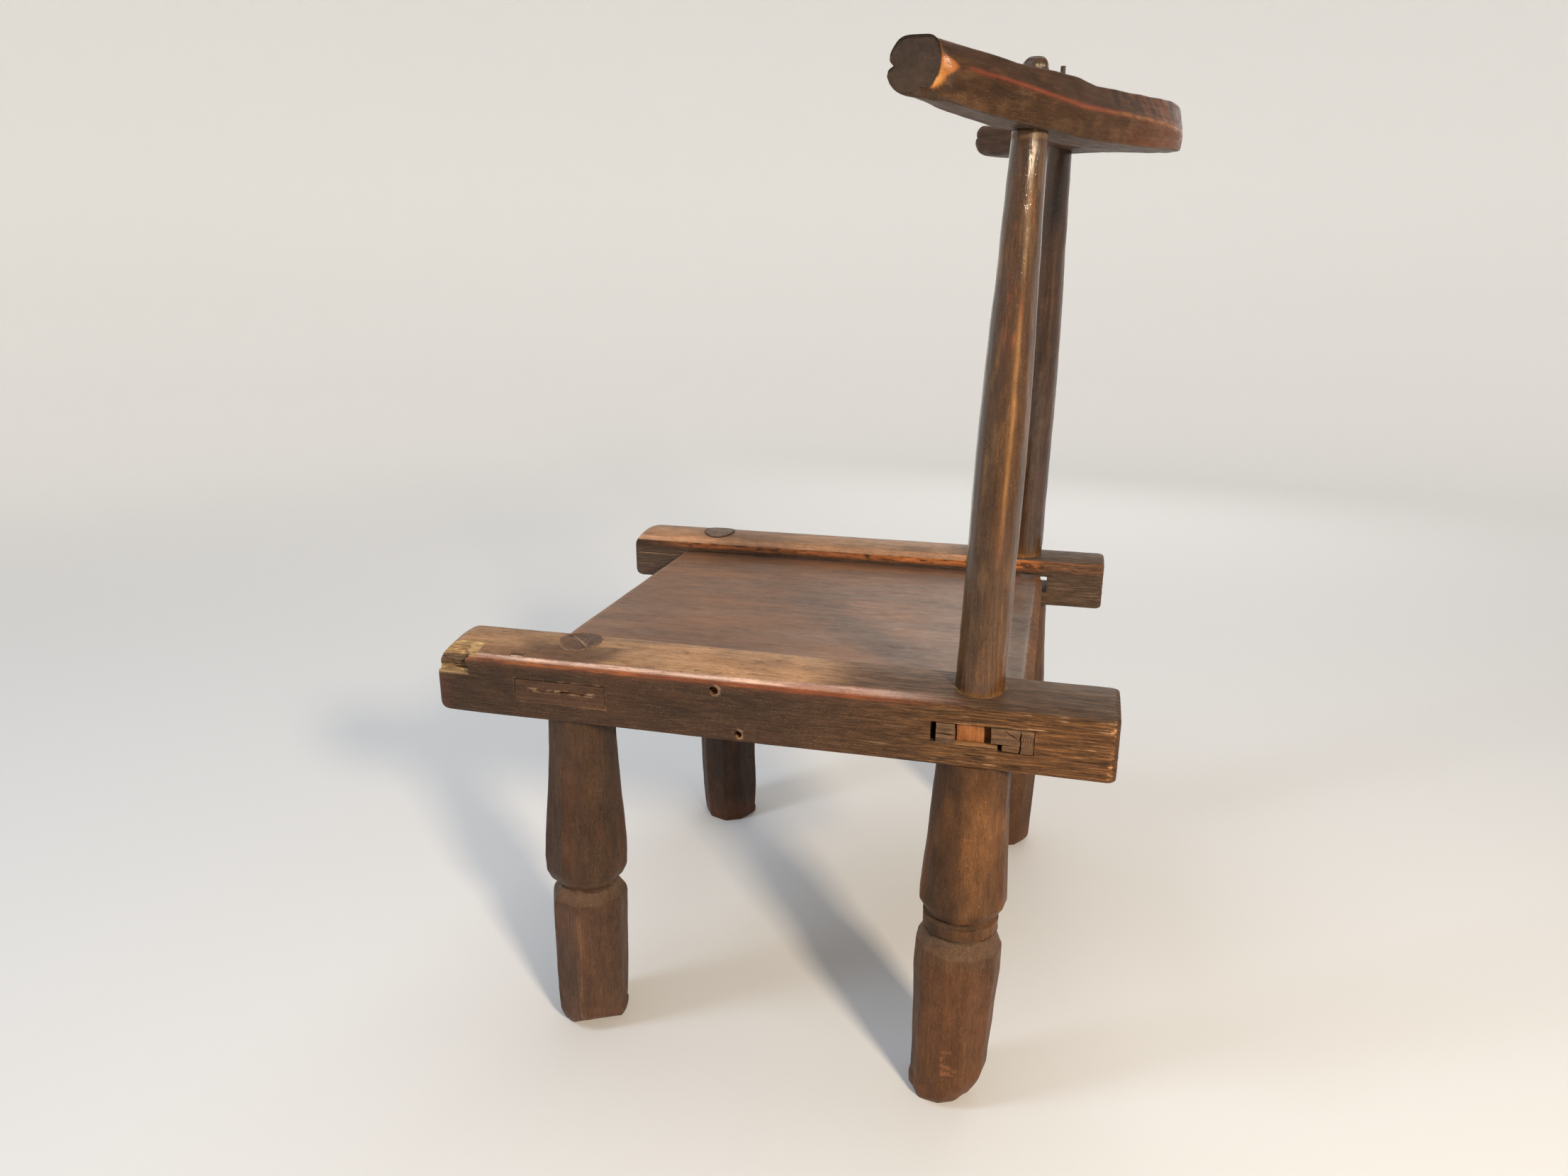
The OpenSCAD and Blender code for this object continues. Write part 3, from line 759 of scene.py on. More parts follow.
carve(seat, [tongue(1, -160.1, -101, 91, 0.0, -0.2), tongue(1, 98.1, 151.6, 92),
             tongue(-1, -160, -101, 93), tongue(-1, 95.2, seat_high[1] - 2.2, 94)], "UNION")
skin = outer_face - 0.1
hatch = [blade([(skin, 145.4 + 1.25 * k, 255.5 - 0.4 * k), (skin, 144.6 + 1.3 * k, 252.0),
                (skin, 143.9 + 1.35 * k, 247.5 - 0.3 * k)], 0.35, 0.8, (1, 0, 0)) for k in range(6)]
carve(seat, [
    hole(front_left, FRONT_BORE, 95), hole(front_right, FRONT_BORE, 96),
    hole(rear_left, REAR_BORE, 97), hole(rear_right, REAR_BORE, 98),
    block("cutter", (outer_face - 16, 108.6, seat_bottom - 2), (outer_face + 3, 128.4, seat_top + 2),
          (1.2, 1.0, 1.0), 0.4, 0.6, 99),
    block("cutter", (outer_face - 15, 127, seat_bottom - 2), (outer_face + 3, 144.6, seat_bottom + 4.5),
          (1.0, 0.9, 0.8), 0.4, 0.6, 100),
    block("cutter", (inner_face + 1, 96, seat_bottom - 2), (outer_face + 3, 110, ledge + 0.15),
          (1.5, 1.5, 1.5), 0.2, 0.1, 100),
    blade(wander((outer_face + 0.4, -152, 250.6), (outer_face + 0.4, -106, 250.0), 2.2, 101, 60),
          1.2, 2.5, (1, 0, 0)),
    blade(wander((outer_face, 135.2, 256.4), (outer_face, 143.6, 250.9), 0.8, 102, 30), 0.7, 2.5, (1, 0, 0)),
    blade(wander((outer_face, 144.4, 257), (outer_face, 144.9, 244), 1.0, 103, 30), 0.9, 3.0, (1, 0, 0)),
    blade(wander((outer_face, 97.8, 250.6), (outer_face, 108.8, 250.2), 0.7, 104, 20), 0.8, 3.0, (1, 0, 0)),
] + hatch)


def seat_paint():
    """Smooth mauve brown wood with a rough rear edge and dark tongue ends."""
    p = Paint(seat, (0.176, 0.088, 0.046), 0.40, 0.1, 0.15)
    p.coat(p.blotch((60, 90, 30), 111, -0.2, 0.5) * 0.6, MAUVE)
    p.coat(p.blotch((26, 80, 20), 112, 0.0, 0.6) * 0.45, (0.20, 0.125, 0.083))
    p.coat(p.blotch((7, 60, 10), 113, 0.15, 0.6) * 0.3, (0.11, 0.062, 0.045))
    # painted reflection of cool light: greyer and glossier towards the rear
    p.coat(rise(p.y, 40, 125) * 0.6, (0.145, 0.098, 0.074), 0.3)
    p.coat(rise(p.x, -inner_face + 20, -inner_face + 2) * 0.75, (0.085, 0.045, 0.030))
    p.coat(rise(p.y, seat_low[1] + 5, seat_low[1]) * 0.6, (0.26, 0.15, 0.085))
    rear = rise(p.y, seat_high[1] - 6.2, seat_high[1] - 4.6)
    p.coat(rear, (0.13, 0.062, 0.030), 0.75, 1.0, 0.8)
    # painted reflection: a grey glossy patch near the rear edge
    painted_glare = band(p.y, seat_high[1] - 17, seat_high[1] - 7, 2.5) * p.blotch((26, 12, 10), 114, -0.5, -0.1)
    p.coat(painted_glare * rise(p.facing[:, 2], 0.5, 0.9) * 0.7, (0.17, 0.145, 0.13), 0.22)
    p.coat(rise(p.facing[:, 2], -0.2, -0.6), (0.10, 0.062, 0.038), 0.7, 1.0, 0.6)
    end = rise(np.abs(p.x), outer_face - 6, outer_face - 1)
    p.coat(end, (0.062, 0.031, 0.017), 0.55, 0.5, 0.9)
    rear_end = end * rise(p.y, 60, 90)
    p.coat(rear_end, (0.100, 0.055, 0.029), 0.65, 0.9, 0.9)
    p.coat(rear_end * p.blotch((3, 3, 2), 115, 0.2, 0.5) * 0.5, (0.15, 0.09, 0.05))
    # painted highlight along the torn fold in the front tongue's end
    painted_fold_highlight = end * band(p.z, 249.4, 251.6, 0.5) * band(p.y, -150, -108, 3)
    painted_fold_highlight = painted_fold_highlight * p.blotch((2.5, 3, 1.5), 116, -0.1, 0.2)
    p.coat(painted_fold_highlight * 0.8, (0.24, 0.15, 0.09), 0.4)
    p.finish(seat_wood, "seat_wood", "seat_board", grain=p.lengthwise())


seat_paint()


# ---------------------------------------------------------------- legs and posts
# heights above the floor with the radius there; the post's heights are shares of its length
FRONT_OUTLINE = np.array([
    [0, 21.6], [3, 22.4], [12, 23.4], [27, 24.3], [47, 24.5], [95, 24.9], [98.5, 24.1], [106.2, 19.0],
    [108.2, 18.7], [112.5, 23.2], [119.5, 26.2], [130, 26.6], [146, 25.6], [177, 23.2], [207, 21.4],
    [231, 20.8]])
REAR_OUTLINE = np.array([
    [0, 21], [5, 22.6], [22, 23.3], [43, 24], [69, 24.9], [90, 26.2], [108, 25.7], [116.2, 21.4],
    [118.6, 18.9], [119.8, 22.3], [127.6, 22.6], [129.0, 19.0], [130.6, 21.2], [138.5, 26.0], [154, 25.1],
    [173, 23.8], [187, 23.1], [217, 21.7], [231, 21.3]])
POST_OUTLINE = np.array([
    [0, 14], [0.12, 13.5], [0.45, 13.3], [0.58, 12.5], [0.73, 11.2], [0.87, 10], [1, 8.9]])
FRONT_GROOVE, REAR_GROOVES = 107.2, (118.6, 129.6)
FRONT_NECK, REAR_NECK = 13.6, 14.0
POST_START, TENON = rail_top + 0.4, 7.6


def facets(count, seed):
    """Uneven facet directions, and how far each stands from the middle as a share of the radius."""
    pick = np.random.default_rng(seed)
    angles = 2 * math.pi * (np.arange(count) + pick.uniform(-0.22, 0.22, count)) / count
    return angles, pick.uniform(-1, 1, count)


def hewn(z, radius, sections, edge, turn, seed, chatter=0.28):
    """Rings of a hewn limb; sections are (low, high, facet count, start turn, depth of unevenness)."""
    rings = np.zeros((len(z), len(turn)))
    for n, (low, high, count, start, uneven) in enumerate(sections):
        inside = (z >= low) & (z < high)
        if not inside.any():
            continue
        angles, offset = facets(count, seed + n)
        zs = z[inside]
        marks = waves(zs, 17, seed + 7 * n, count, 7.0, 2)
        half = math.pi / count
        reach = radius[inside][:, None] * (1 + math.cos(half)) / 2 + uneven * offset[None] + chatter * marks
        rings[inside] = facet_radius(turn, angles + start, reach, edge)
    return rings


def limb_solid(name, limb, outline, sections, seed, neck, foot, top=None, post=None):
    """A leg from the floor, then its round neck through the rail, then its post, then its tenon.

    foot is the bevel's lift and its swing, its slope, the side it faces, then the flats hewn across the
    rim as (side, reach, steepness), then the bruised lips as (side, low, high, amount). top gives the
    height of the neck's end above rail_top; post gives the heights of the post's shoulder and its tip.
    """
    grooves = [s[0] for s in sections[1:]]
    z = [spans((0, 6, 0.7), (6, rail_bottom - 0.05, 1.5))]
    for g in grooves:
        z.append(np.arange(g - 9, g + 9, 0.55))
    z = np.unique(np.round(np.concatenate(z), 3))
    z = z[(z >= 0) & (z < rail_bottom)]
    turn = np.linspace(0, 2 * math.pi, 176, endpoint=False)
    r = hewn(z, np.interp(z, outline[:, 0], outline[:, 1]), sections, 0.38, turn, seed)
    for g in grooves:  # the grooves were cut by hand, so they waver
        circle = np.stack([turn * 0, np.cos(turn) * 2, np.sin(turn) * 2], 1)
        waver = 1.3 * noise(circle, (1, 1.3, 1.3), seed + 5, 2)
        shifted = z[:, None] + waver[None] * np.exp(-((z[:, None] - g) / 10) ** 2)
        r = r + (np.interp(shifted, outline[:, 0], outline[:, 1])
                 - np.interp(z, outline[:, 0], outline[:, 1])[:, None])
    (bevel, swing), slope, facing, flats, lips = foot
    lift = bevel + swing * np.cos(turn - facing)
    r = r - slope * np.maximum(lift[None] - z[:, None], 0) ** 1.4 / np.maximum(lift[None], 1) ** 0.4
    for toward, reach, steep in flats:
        away = np.maximum(np.cos(turn - toward), 0.05)
        r = np.minimum(r, (reach + z[:, None] / steep) / away[None])
    for toward, low, high, amount in lips:
        swelling = np.exp(-(np.angle(np.exp(1j * (turn - toward))) / 0.4) ** 2)
        r = r + amount * band(z, low, high, 2.5)[:, None] * swelling
    side = np.sign(limb.foot[0])
    room = (outer_face - 0.8 - side * limb.at(z)[:, 0])[:, None] / np.maximum(side * np.cos(turn)[None], 0.05)
    r = np.where(z[:, None] > rail_bottom - 9, np.minimum(r, room + 0.25 * (rail_bottom - z[:, None])), r)
    parts_r, parts_z = [r], [np.broadcast_to(z[:, None], r.shape)]

    def more(heights, radii):
        """Adds rings; heights and radii are numbers for each ring, or for each point of it."""
        shape = (len(heights), len(turn))
        for parts, values in ((parts_r, radii), (parts_z, heights)):
            parts.append(np.broadcast_to(np.asarray(values, float).reshape(len(heights), -1), shape))

    shoulder = r[-1]
    more([rail_bottom] * 4, np.stack([shoulder + (neck - shoulder) * s for s in (0.25, 0.5, 0.75, 1.0)]))
    if post is None:
        centre = limb.at(rail_top)
        flat = np.stack([centre[0] + neck * np.cos(turn), centre[1] + neck * np.sin(turn)], 1)
        above = rail_top + top(flat)
        share = np.linspace(0, 1, 24)[1:]
        heights = rail_bottom + (above[None] - rail_bottom) * share[:, None]
        more(heights, [neck] * len(heights))
    else:
        crest_z, tip = post
        within = np.linspace(rail_bottom, POST_START, 20)[1:]
        more(within, [neck] * len(within))
        body_z = spans((POST_START + 0.6, crest_z, 1.6))
        share = (body_z - POST_START) / (crest_z - POST_START)
        body = np.interp(share, POST_OUTLINE[:, 0], POST_OUTLINE[:, 1]) * 1.015
        body = hewn(body_z, body, [(POST_START, crest_z + 9, 12, 0.13, 0.25)], 0.42, turn, seed + 60, 0.22)
        fade = rise(body_z, POST_START, POST_START + 10)[:, None]
        more(body_z, neck * (1 - fade) + body * fade)
        more([crest_z + 0.1] * 2, [(body[-1].mean() + TENON) / 2, TENON])
        up = np.linspace(crest_z + 0.2, tip - 5.5, 18)
        more(up, TENON - 1.1 * rise(up, tip - 11, tip - 8))
        knob_z = np.linspace(tip - 5.2, tip, 12)
        dome = (TENON - 1.1) * np.sqrt(np.clip(1 - np.linspace(0, 0.86, 12) ** 2.6, 0, 1))
        more(knob_z, hewn(knob_z, dome, [(0, 900, 7, 0.4, 0.35)], 0.5, turn, seed + 80, 0.1))
    r = np.concatenate(parts_r)
    zz = np.concatenate(parts_z)
    out = np.stack([np.cos(turn), np.sin(turn), 0 * turn], 1)[None]
    rings = limb.at(zz) + r[..., None] * out
    bare = rise(zz, rail_bottom - 1, rail_bottom - 2) + rise(zz, rail_top + 1, rail_top + 3) * (zz < 560)
    relief = 0.13 * noise(rings, (3.2, 3.2, 22), seed + 90, 3) + 0.16 * noise(rings, (7, 7, 9), seed + 91, 2)
    rings = rings + out * (relief * (0.15 + 0.85 * np.clip(bare, 0, 1)))[..., None]
    rings = capped(rings)
    sole = rings[:9]
    sole[..., 2] += 0.5 * np.abs(noise(sole, (6, 6, 6), seed + 95, 2)) * np.linspace(1, 0, 9)[:, None]
    return tube(name, rings)


def flush(side, proud):
    """How far above rail_top a tenon's end has to be to lie proud of the rail's top."""
    def height(flat):
        out = side * flat[:, 0] - rail_mid
        mid = rail_bottom + (rail_top - rail_bottom) / 2
        return mid + rail_crown(out, flat[:, 1], side) + proud - rail_top
    return height


def front_cuts(low, high):
    """Sections of a front leg below and above its groove: facet count, start turn, unevenness."""
    return [(-1, FRONT_GROOVE, *low), (FRONT_GROOVE, 300, *high)]


def rear_cuts(low, ring, high):
    """Sections of a rear leg below, between and above its grooves."""
    return [(-1, REAR_GROOVES[0], *low), (*REAR_GROOVES, *ring), (REAR_GROOVES[1], 300, *high)]


left_leg = limb_solid(
    "front_left_leg_hewn", front_left, FRONT_OUTLINE, front_cuts((9, 0.28, 0.55), (10, 0.05, 0.3)),
    201, FRONT_NECK, ((4.0, 9.0), 0.34, math.radians(-70), [(math.radians(28), 10.5, 0.85)],
                      [(math.radians(100), 3.0, 8.0, 1.7)]), top=flush(1, 0.5))
right_leg = limb_solid(
    "front_right_leg_hewn", front_right, FRONT_OUTLINE, front_cuts((9, 0.5, 0.5), (11, 0.2, 0.3)),
    221, FRONT_NECK, ((2.5, 2.5), 0.3, 3.6, [], [(math.radians(95), 2.0, 6.0, 1.0)]), top=flush(-1, 1.0))
left_post = limb_solid(
    "rear_left_leg_post_hewn", rear_left, REAR_OUTLINE,
    rear_cuts((11, 0.16, 0.35), (19, 0.0, 0.25), (11, 0.2, 0.3)), 241, REAR_NECK,
    ((9.0, 15.0), 0.42, math.radians(80), [], [(math.radians(-78), 5.0, 11.0, 1.2)]), post=(563.5, 597.0))
right_post = limb_solid(
    "rear_right_leg_post_hewn", rear_right, REAR_OUTLINE,
    rear_cuts((11, 0.36, 0.35), (18, 0.0, 0.25), (12, 0.5, 0.3)), 261, REAR_NECK,
    ((5.0, 3.0), 0.4, 2.0, [], []), post=(586.5, 613.5))


def curved_wedge(name, slack):
    """The thin wedge in the near front tenon, slightly curved; wider and longer with slack."""
    spot = front_left.at(rail_top)
    half, reach, deep = 0.8 + slack, 11, 24

    def bend(p):
        curve = 1.5 * np.sin(p[:, 1] / reach * math.pi / 2) ** 2 * np.sign(p[:, 1])
        across = p[:, 0] + curve - p[:, 0] * (1 - rise(p[:, 2], -deep, 0)) * 0.9
        c, s = math.cos(math.radians(38)), math.sin(math.radians(38))
        return np.stack([spot[0] + c * across + s * p[:, 1], spot[1] - s * across + c * p[:, 1],
                         rail_top + p[:, 2]], 1)

    return block(name, (-half, -reach - slack, -deep), (half, reach + slack, 3.1 + (4 if slack else 0)),
                 (0.5, 0.8, 1.2), 0.2, 0.08, 290, bend)


def leg_crack(limb, heights, angle, radii, width, depth, seed):
    """A cutter for a drying crack along a limb, between two heights."""
    out = np.array([math.cos(angle), math.sin(angle), 0])
    ends = [limb.at(z) + r * out for z, r in zip(heights, radii)]
    return blade(wander(*ends, 0.8, seed, 60), width, depth, out)


carve(left_leg, [curved_wedge("cutter", 0.06),
                 peg("cutter", (152.5, -135.5, 264), (152.5, -135.5, 290), 1.5, 0.3, 291, 20),
                 leg_crack(front_left, (84, 97), math.radians(-8), (24.2, 24.3), 0.5, 1.2, 292)])
boss = block("cutter", (outer_face - 20, 109.2, ledge + 0.4), (outer_face - 3.2, 124.6, seat_top - 0.6),
             (1.0, 0.8, 0.8), 0.7, 0.45, 297)
carve(left_post, [boss], "UNION")


def leg_paint(piece, limb, base, seed):
    """The coats that all legs share, and each point's direction round the limb."""
    p = Paint(piece, base, 0.52, 0.18, 1.0)
    centre = limb.at(p.z)
    angle = np.arctan2(p.y - centre[:, 1], p.x - centre[:, 0])
    p.coat(p.blotch((18, 18, 40), seed) * 0.5, DARK)
    p.coat(p.blotch((12, 12, 30), seed + 1, 0.0, 0.5) * 0.2, RUSSET)
    for low, high in ((105.8, 108.8),) if limb.top is None else ((117.6, 119.4), (128.3, 130.0)):
        p.coat(band(p.z, low, high, 1.0) * 0.9, (0.018, 0.010, 0.006), 0.8)
    p.coat(rise(p.z, 30, 2) * 0.35, (0.18, 0.070, 0.034))
    p.coat(band(p.z, 104, 114, 4) * 0.3, (0.12, 0.068, 0.040))
    p.coat(rise(p.facing[:, 2], 0.25, 0.6) * (p.z < 150) * 0.5, (0.15, 0.095, 0.062), 0.6)
    return p, angle


def tenon_end(p, limb, colour):
    """Colours a front leg's end on top of the rail; gives its mask and the distance from its middle."""
    end = rise(p.z, rail_top - 4, rail_top - 2)
    p.coat(end, colour, 0.42, 0.5, 0.2)
    middle = limb.at(rail_top)
    return end, np.hypot(p.x - middle[0], p.y - middle[1])


def front_left_paint():
    """The near front leg, with a scar down its side and a dusty ring round its tenon."""
    p, angle = leg_paint(left_leg, front_left, (0.056, 0.031, 0.018), 121)
    scar = band(angle, 0.06, 0.22, 0.07) * band(p.z, 8, 86, 8) * p.blotch((4, 4, 34), 123, -0.35, 0.2)
    p.coat(scar * 0.6, (0.25, 0.135, 0.078), 0.6, 1.4, 0.6)
    low = rise(p.z, 40, 4) * band(angle, 0.0, 1.2, 0.3)
    p.coat(low * 0.4, (0.22, 0.10, 0.055))
    p.coat(rise(p.z, 108, 90) * 0.6, (0.082, 0.050, 0.034))
    p.coat(rise(p.z, 108, 90) * 0.2, RUSSET)
    end, far = tenon_end(p, front_left, (0.115, 0.062, 0.038))
    p.coat(end * rise(far, 12.6, 13.3) * p.blotch((6, 6, 6), 124, -0.3, 0.1) * 0.8, (0.27, 0.19, 0.13), 0.6)
    p.finish(leg_wood, "leg_wood", "front_left_leg")


def front_right_paint():
    """The far front leg, darker and with a dark ring round its tenon."""
    p, _ = leg_paint(right_leg, front_right, (0.034, 0.019, 0.013), 131)
    end, far = tenon_end(p, front_right, (0.16, 0.10, 0.068))
    p.coat(end * rise(far, 12.2, 13.2) * 0.6, DARK, 0.6)
    p.finish(leg_wood, "leg_wood", "front_right_leg")


def post_coats(p, angle, seed):
    """The dark polish of a post above the rail, with a golden line painted where the key lamp's highlight
    falls.
    """
    post = rise(p.z, rail_bottom - 3, rail_bottom + 3)
    p.coat(post, (0.058, 0.027, 0.009), 0.17, 0.45, 0.9)
    p.coat(post * p.blotch((5, 5, 26), seed, 0.0, 0.4) * 0.6, (0.128, 0.066, 0.023))
    p.coat(post * p.blotch((6, 6, 40), seed + 2, 0.1, 0.5) * 0.7, (0.030, 0.014, 0.007))
    p.coat(post * p.blotch((9, 9, 90), seed + 1, 0.15, 0.6) * 0.4, (0.100, 0.032, 0.012))
    p.coat(post * band(p.z, rail_top - 2, rail_top + 40, 30) * 0.3, (0.12, 0.060, 0.024), 0.36, 0.8, 0.9)
    # painted highlight: a golden line down the post at the turn where the key lamp reflects
    painted_highlight_line = np.exp(-((angle - 0.36 - 0.10 * noise(p.at, (400, 400, 60), seed + 3)) / 0.10) ** 2)
    painted_highlight_line = painted_highlight_line * band(p.z, rail_top + 120, rail_top + 262, 60) * p.blotch((30, 30, 34), seed + 4, -0.5, 0.1)
    p.coat(post * painted_highlight_line * 0.5, (0.36, 0.19, 0.066), 0.15, 0.2, 0.3)
    p.coat(band(p.z, rail_top - 6, rail_top - 0.5, 1.2) * 0.5, (0.22, 0.11, 0.04), 0.4)
    p.coat(rise(p.z, rail_top + 306, rail_top + 312) * 0.8, (0.060, 0.037, 0.025), 0.3)


def rear_left_paint():
    """The near rear leg and post: a warm glow, small cuts low down, red wood inside the mortise."""
    p, angle = leg_paint(left_post, rear_left, (0.085, 0.037, 0.013), 141)
    p.coat(rise(p.z, 112, 96) * rise(p.z, -5, 60) * 0.4, (0.105, 0.044, 0.021))
    glow = band(angle, 0.25, 1.3, 0.4) * band(p.z, 132, 200, 18) * p.blotch((14, 14, 30), 143, -0.4, 0.2)
    p.coat(glow * 0.5, (0.20, 0.090, 0.033))
    p.coat(band(angle, 0.5, 1.6, 0.3) * rise(p.z, 112, 60) * 0.35, (0.16, 0.066, 0.026))
    cuts = band(angle, -0.1, 0.25, 0.08) * band(p.z, 26, 42, 3) * p.blotch((6, 6, 1.6), 144, 0.0, 0.2)
    p.coat(cuts * 0.7, (0.26, 0.105, 0.05))
    post_coats(p, angle, 145)
    inside = band(p.z, seat_bottom - 1, seat_top + 1, 1)
    p.coat(inside, (0.27, 0.105, 0.034), 0.6, 0.3, 0.4)
    p.coat(inside * p.blotch((5, 5, 4), 149, 0.0, 0.4) * 0.5, (0.17, 0.065, 0.024))
    warm = band(p.z, 470, 520, 20) * band(angle, -0.2, 0.7, 0.2)
    p.coat(warm * p.blotch((2, 2, 14), 148, 0.25, 0.5) * 0.35, (0.30, 0.06, 0.022))
    p.coat(band(p.z, 560.5, 562.6, 0.6) * 0.6, (0.20, 0.13, 0.080), 0.4)
    p.finish(post_wood, "post_wood", "rear_left_leg_post")


def rear_right_paint():
    """The far rear leg and post, dark and polished above the rail."""
    p, angle = leg_paint(right_post, rear_right, (0.088, 0.042, 0.021), 151)
    post_coats(p, angle, 155)
    p.coat(rise(p.z, rail_top, rail_top + 10) * 0.7, (0.034, 0.015, 0.008), 0.15)
    p.finish(post_wood, "post_wood", "rear_right_leg_post")


front_left_paint()
front_right_paint()
rear_left_paint()
rear_right_paint()

wedge = curved_wedge("front_left_tenon_wedge_split", 0.0)
p = Paint(wedge, (0.26, 0.17, 0.105), 0.6, 0.8, 0.3)
p.finish(pale_wood, "fresh_wood", "front_left_tenon_wedge")

sliver = block("rear_left_mortise_sliver_rough", (outer_face - 12.8, 134.4, seat_bottom + 0.1),
               (outer_face - 0.4, 144.0, seat_bottom + 4.0), (0.9, 0.6, 0.6), 0.9, 0.5, 296)
p = Paint(sliver, (0.125, 0.070, 0.036), 0.65, 0.9, 0.8)
p.finish(leg_wood, "leg_wood", "rear_left_mortise_sliver", grain=p.lengthwise())


# ---------------------------------------------------------------- crest
CREST_SPAN, CREST_BACK, CREST_SLOPE, CREST_BEND = 426.0, 198.0, 1.06, 140.0
CREST_HEIGHT, CREST_LIFT, CREST_ROLL = 580.5, 10.5, 8.0


def crest_line(x):
    """Middle line of the crest at a distance x from the middle of the chair."""
    share = 2 * x / CREST_SPAN
    y = CREST_BACK - CREST_SLOPE * (np.sqrt(x * x + CREST_BEND ** 2) - CREST_BEND)
    z = CREST_HEIGHT + CREST_LIFT * share ** 2 - CREST_ROLL * share * (1.54 - 0.54 * share ** 2)
    return np.stack([x, y, z], -1)


def crest_frame(x):
    """Direction along the crest, and outwards from its curve, at x."""
    way = -np.arctan(CREST_SLOPE * x / np.sqrt(x * x + CREST_BEND ** 2))
    along = np.stack([np.cos(way), np.sin(way), 0 * x], -1)
    out = np.stack([-np.sin(way), np.cos(way), 0 * x], -1)
    return along, out


# place along x, then how far out and up the ridge stands, and the heights of the top's outer edge,
# of the lower outer arris and of the lower inner arris, all from the middle line
CREST_CUT = np.array([
    (-213, 15.4, 3.0, 12.0, -11.0, -10.0), (-194, 15.8, 2.0, 12.0, -12.0, -11.0),
    (-170, 16.2, 0.0, 11.5, -11.0, -8.5), (-140, 16.4, -2.0, 11.0, -9.6, -5.6),
    (-110, 16.3, -3.3, 10.0, -9.4, -7.2), (-75, 15.6, -3.3, 9.8, -10.6, -9.4),
    (-35, 14.3, -3.8, 10.4, -12.2, -11.6), (0, 13.3, -4.0, 10.5, -13.2, -12.6),
    (25, 13.5, -4.0, 10.5, -14.0, -13.8), (46, 14.4, -3.8, 10.8, -14.8, -15.0),
    (86, 15.7, -3.3, 9.7, -16.2, -16.2), (104, 16.1, -3.2, 9.1, -16.8, -17.0),
    (122, 16.4, -3.3, 8.9, -17.2, -17.0), (134, 16.6, -3.4, 11.2, -17.2, -16.2),
    (149, 16.6, -2.1, 11.6, -15.8, -14.9), (168, 16.5, 0.1, 11.2, -15.2, -14.2),
    (190, 16.4, 1.4, 12.6, -13.8, -12.0), (208, 16.2, 2.7, 13.8, -12.2, -9.5)])
# which side, a point of the sawn face, and its direction
CREST_ENDS = ((1, (211.6, 75.0, 583.4), (0.953, -0.30, 0.03)),
              (-1, (-209.5, 77.6, 599.0), (-0.80, -0.60, 0.05)))


def crest_end(points, end):
    """Distance of points from the sawn face of an end, and the face's direction."""
    normal = np.array(end[2]) / np.linalg.norm(end[2])
    return -(points - np.array(end[1])) @ normal, normal


def near_to(turn, degrees, width):
    """1 at one direction round a section, fading away from it."""
    return np.exp(-(np.angle(np.exp(1j * (turn - math.radians(degrees)))) / math.radians(width)) ** 2)


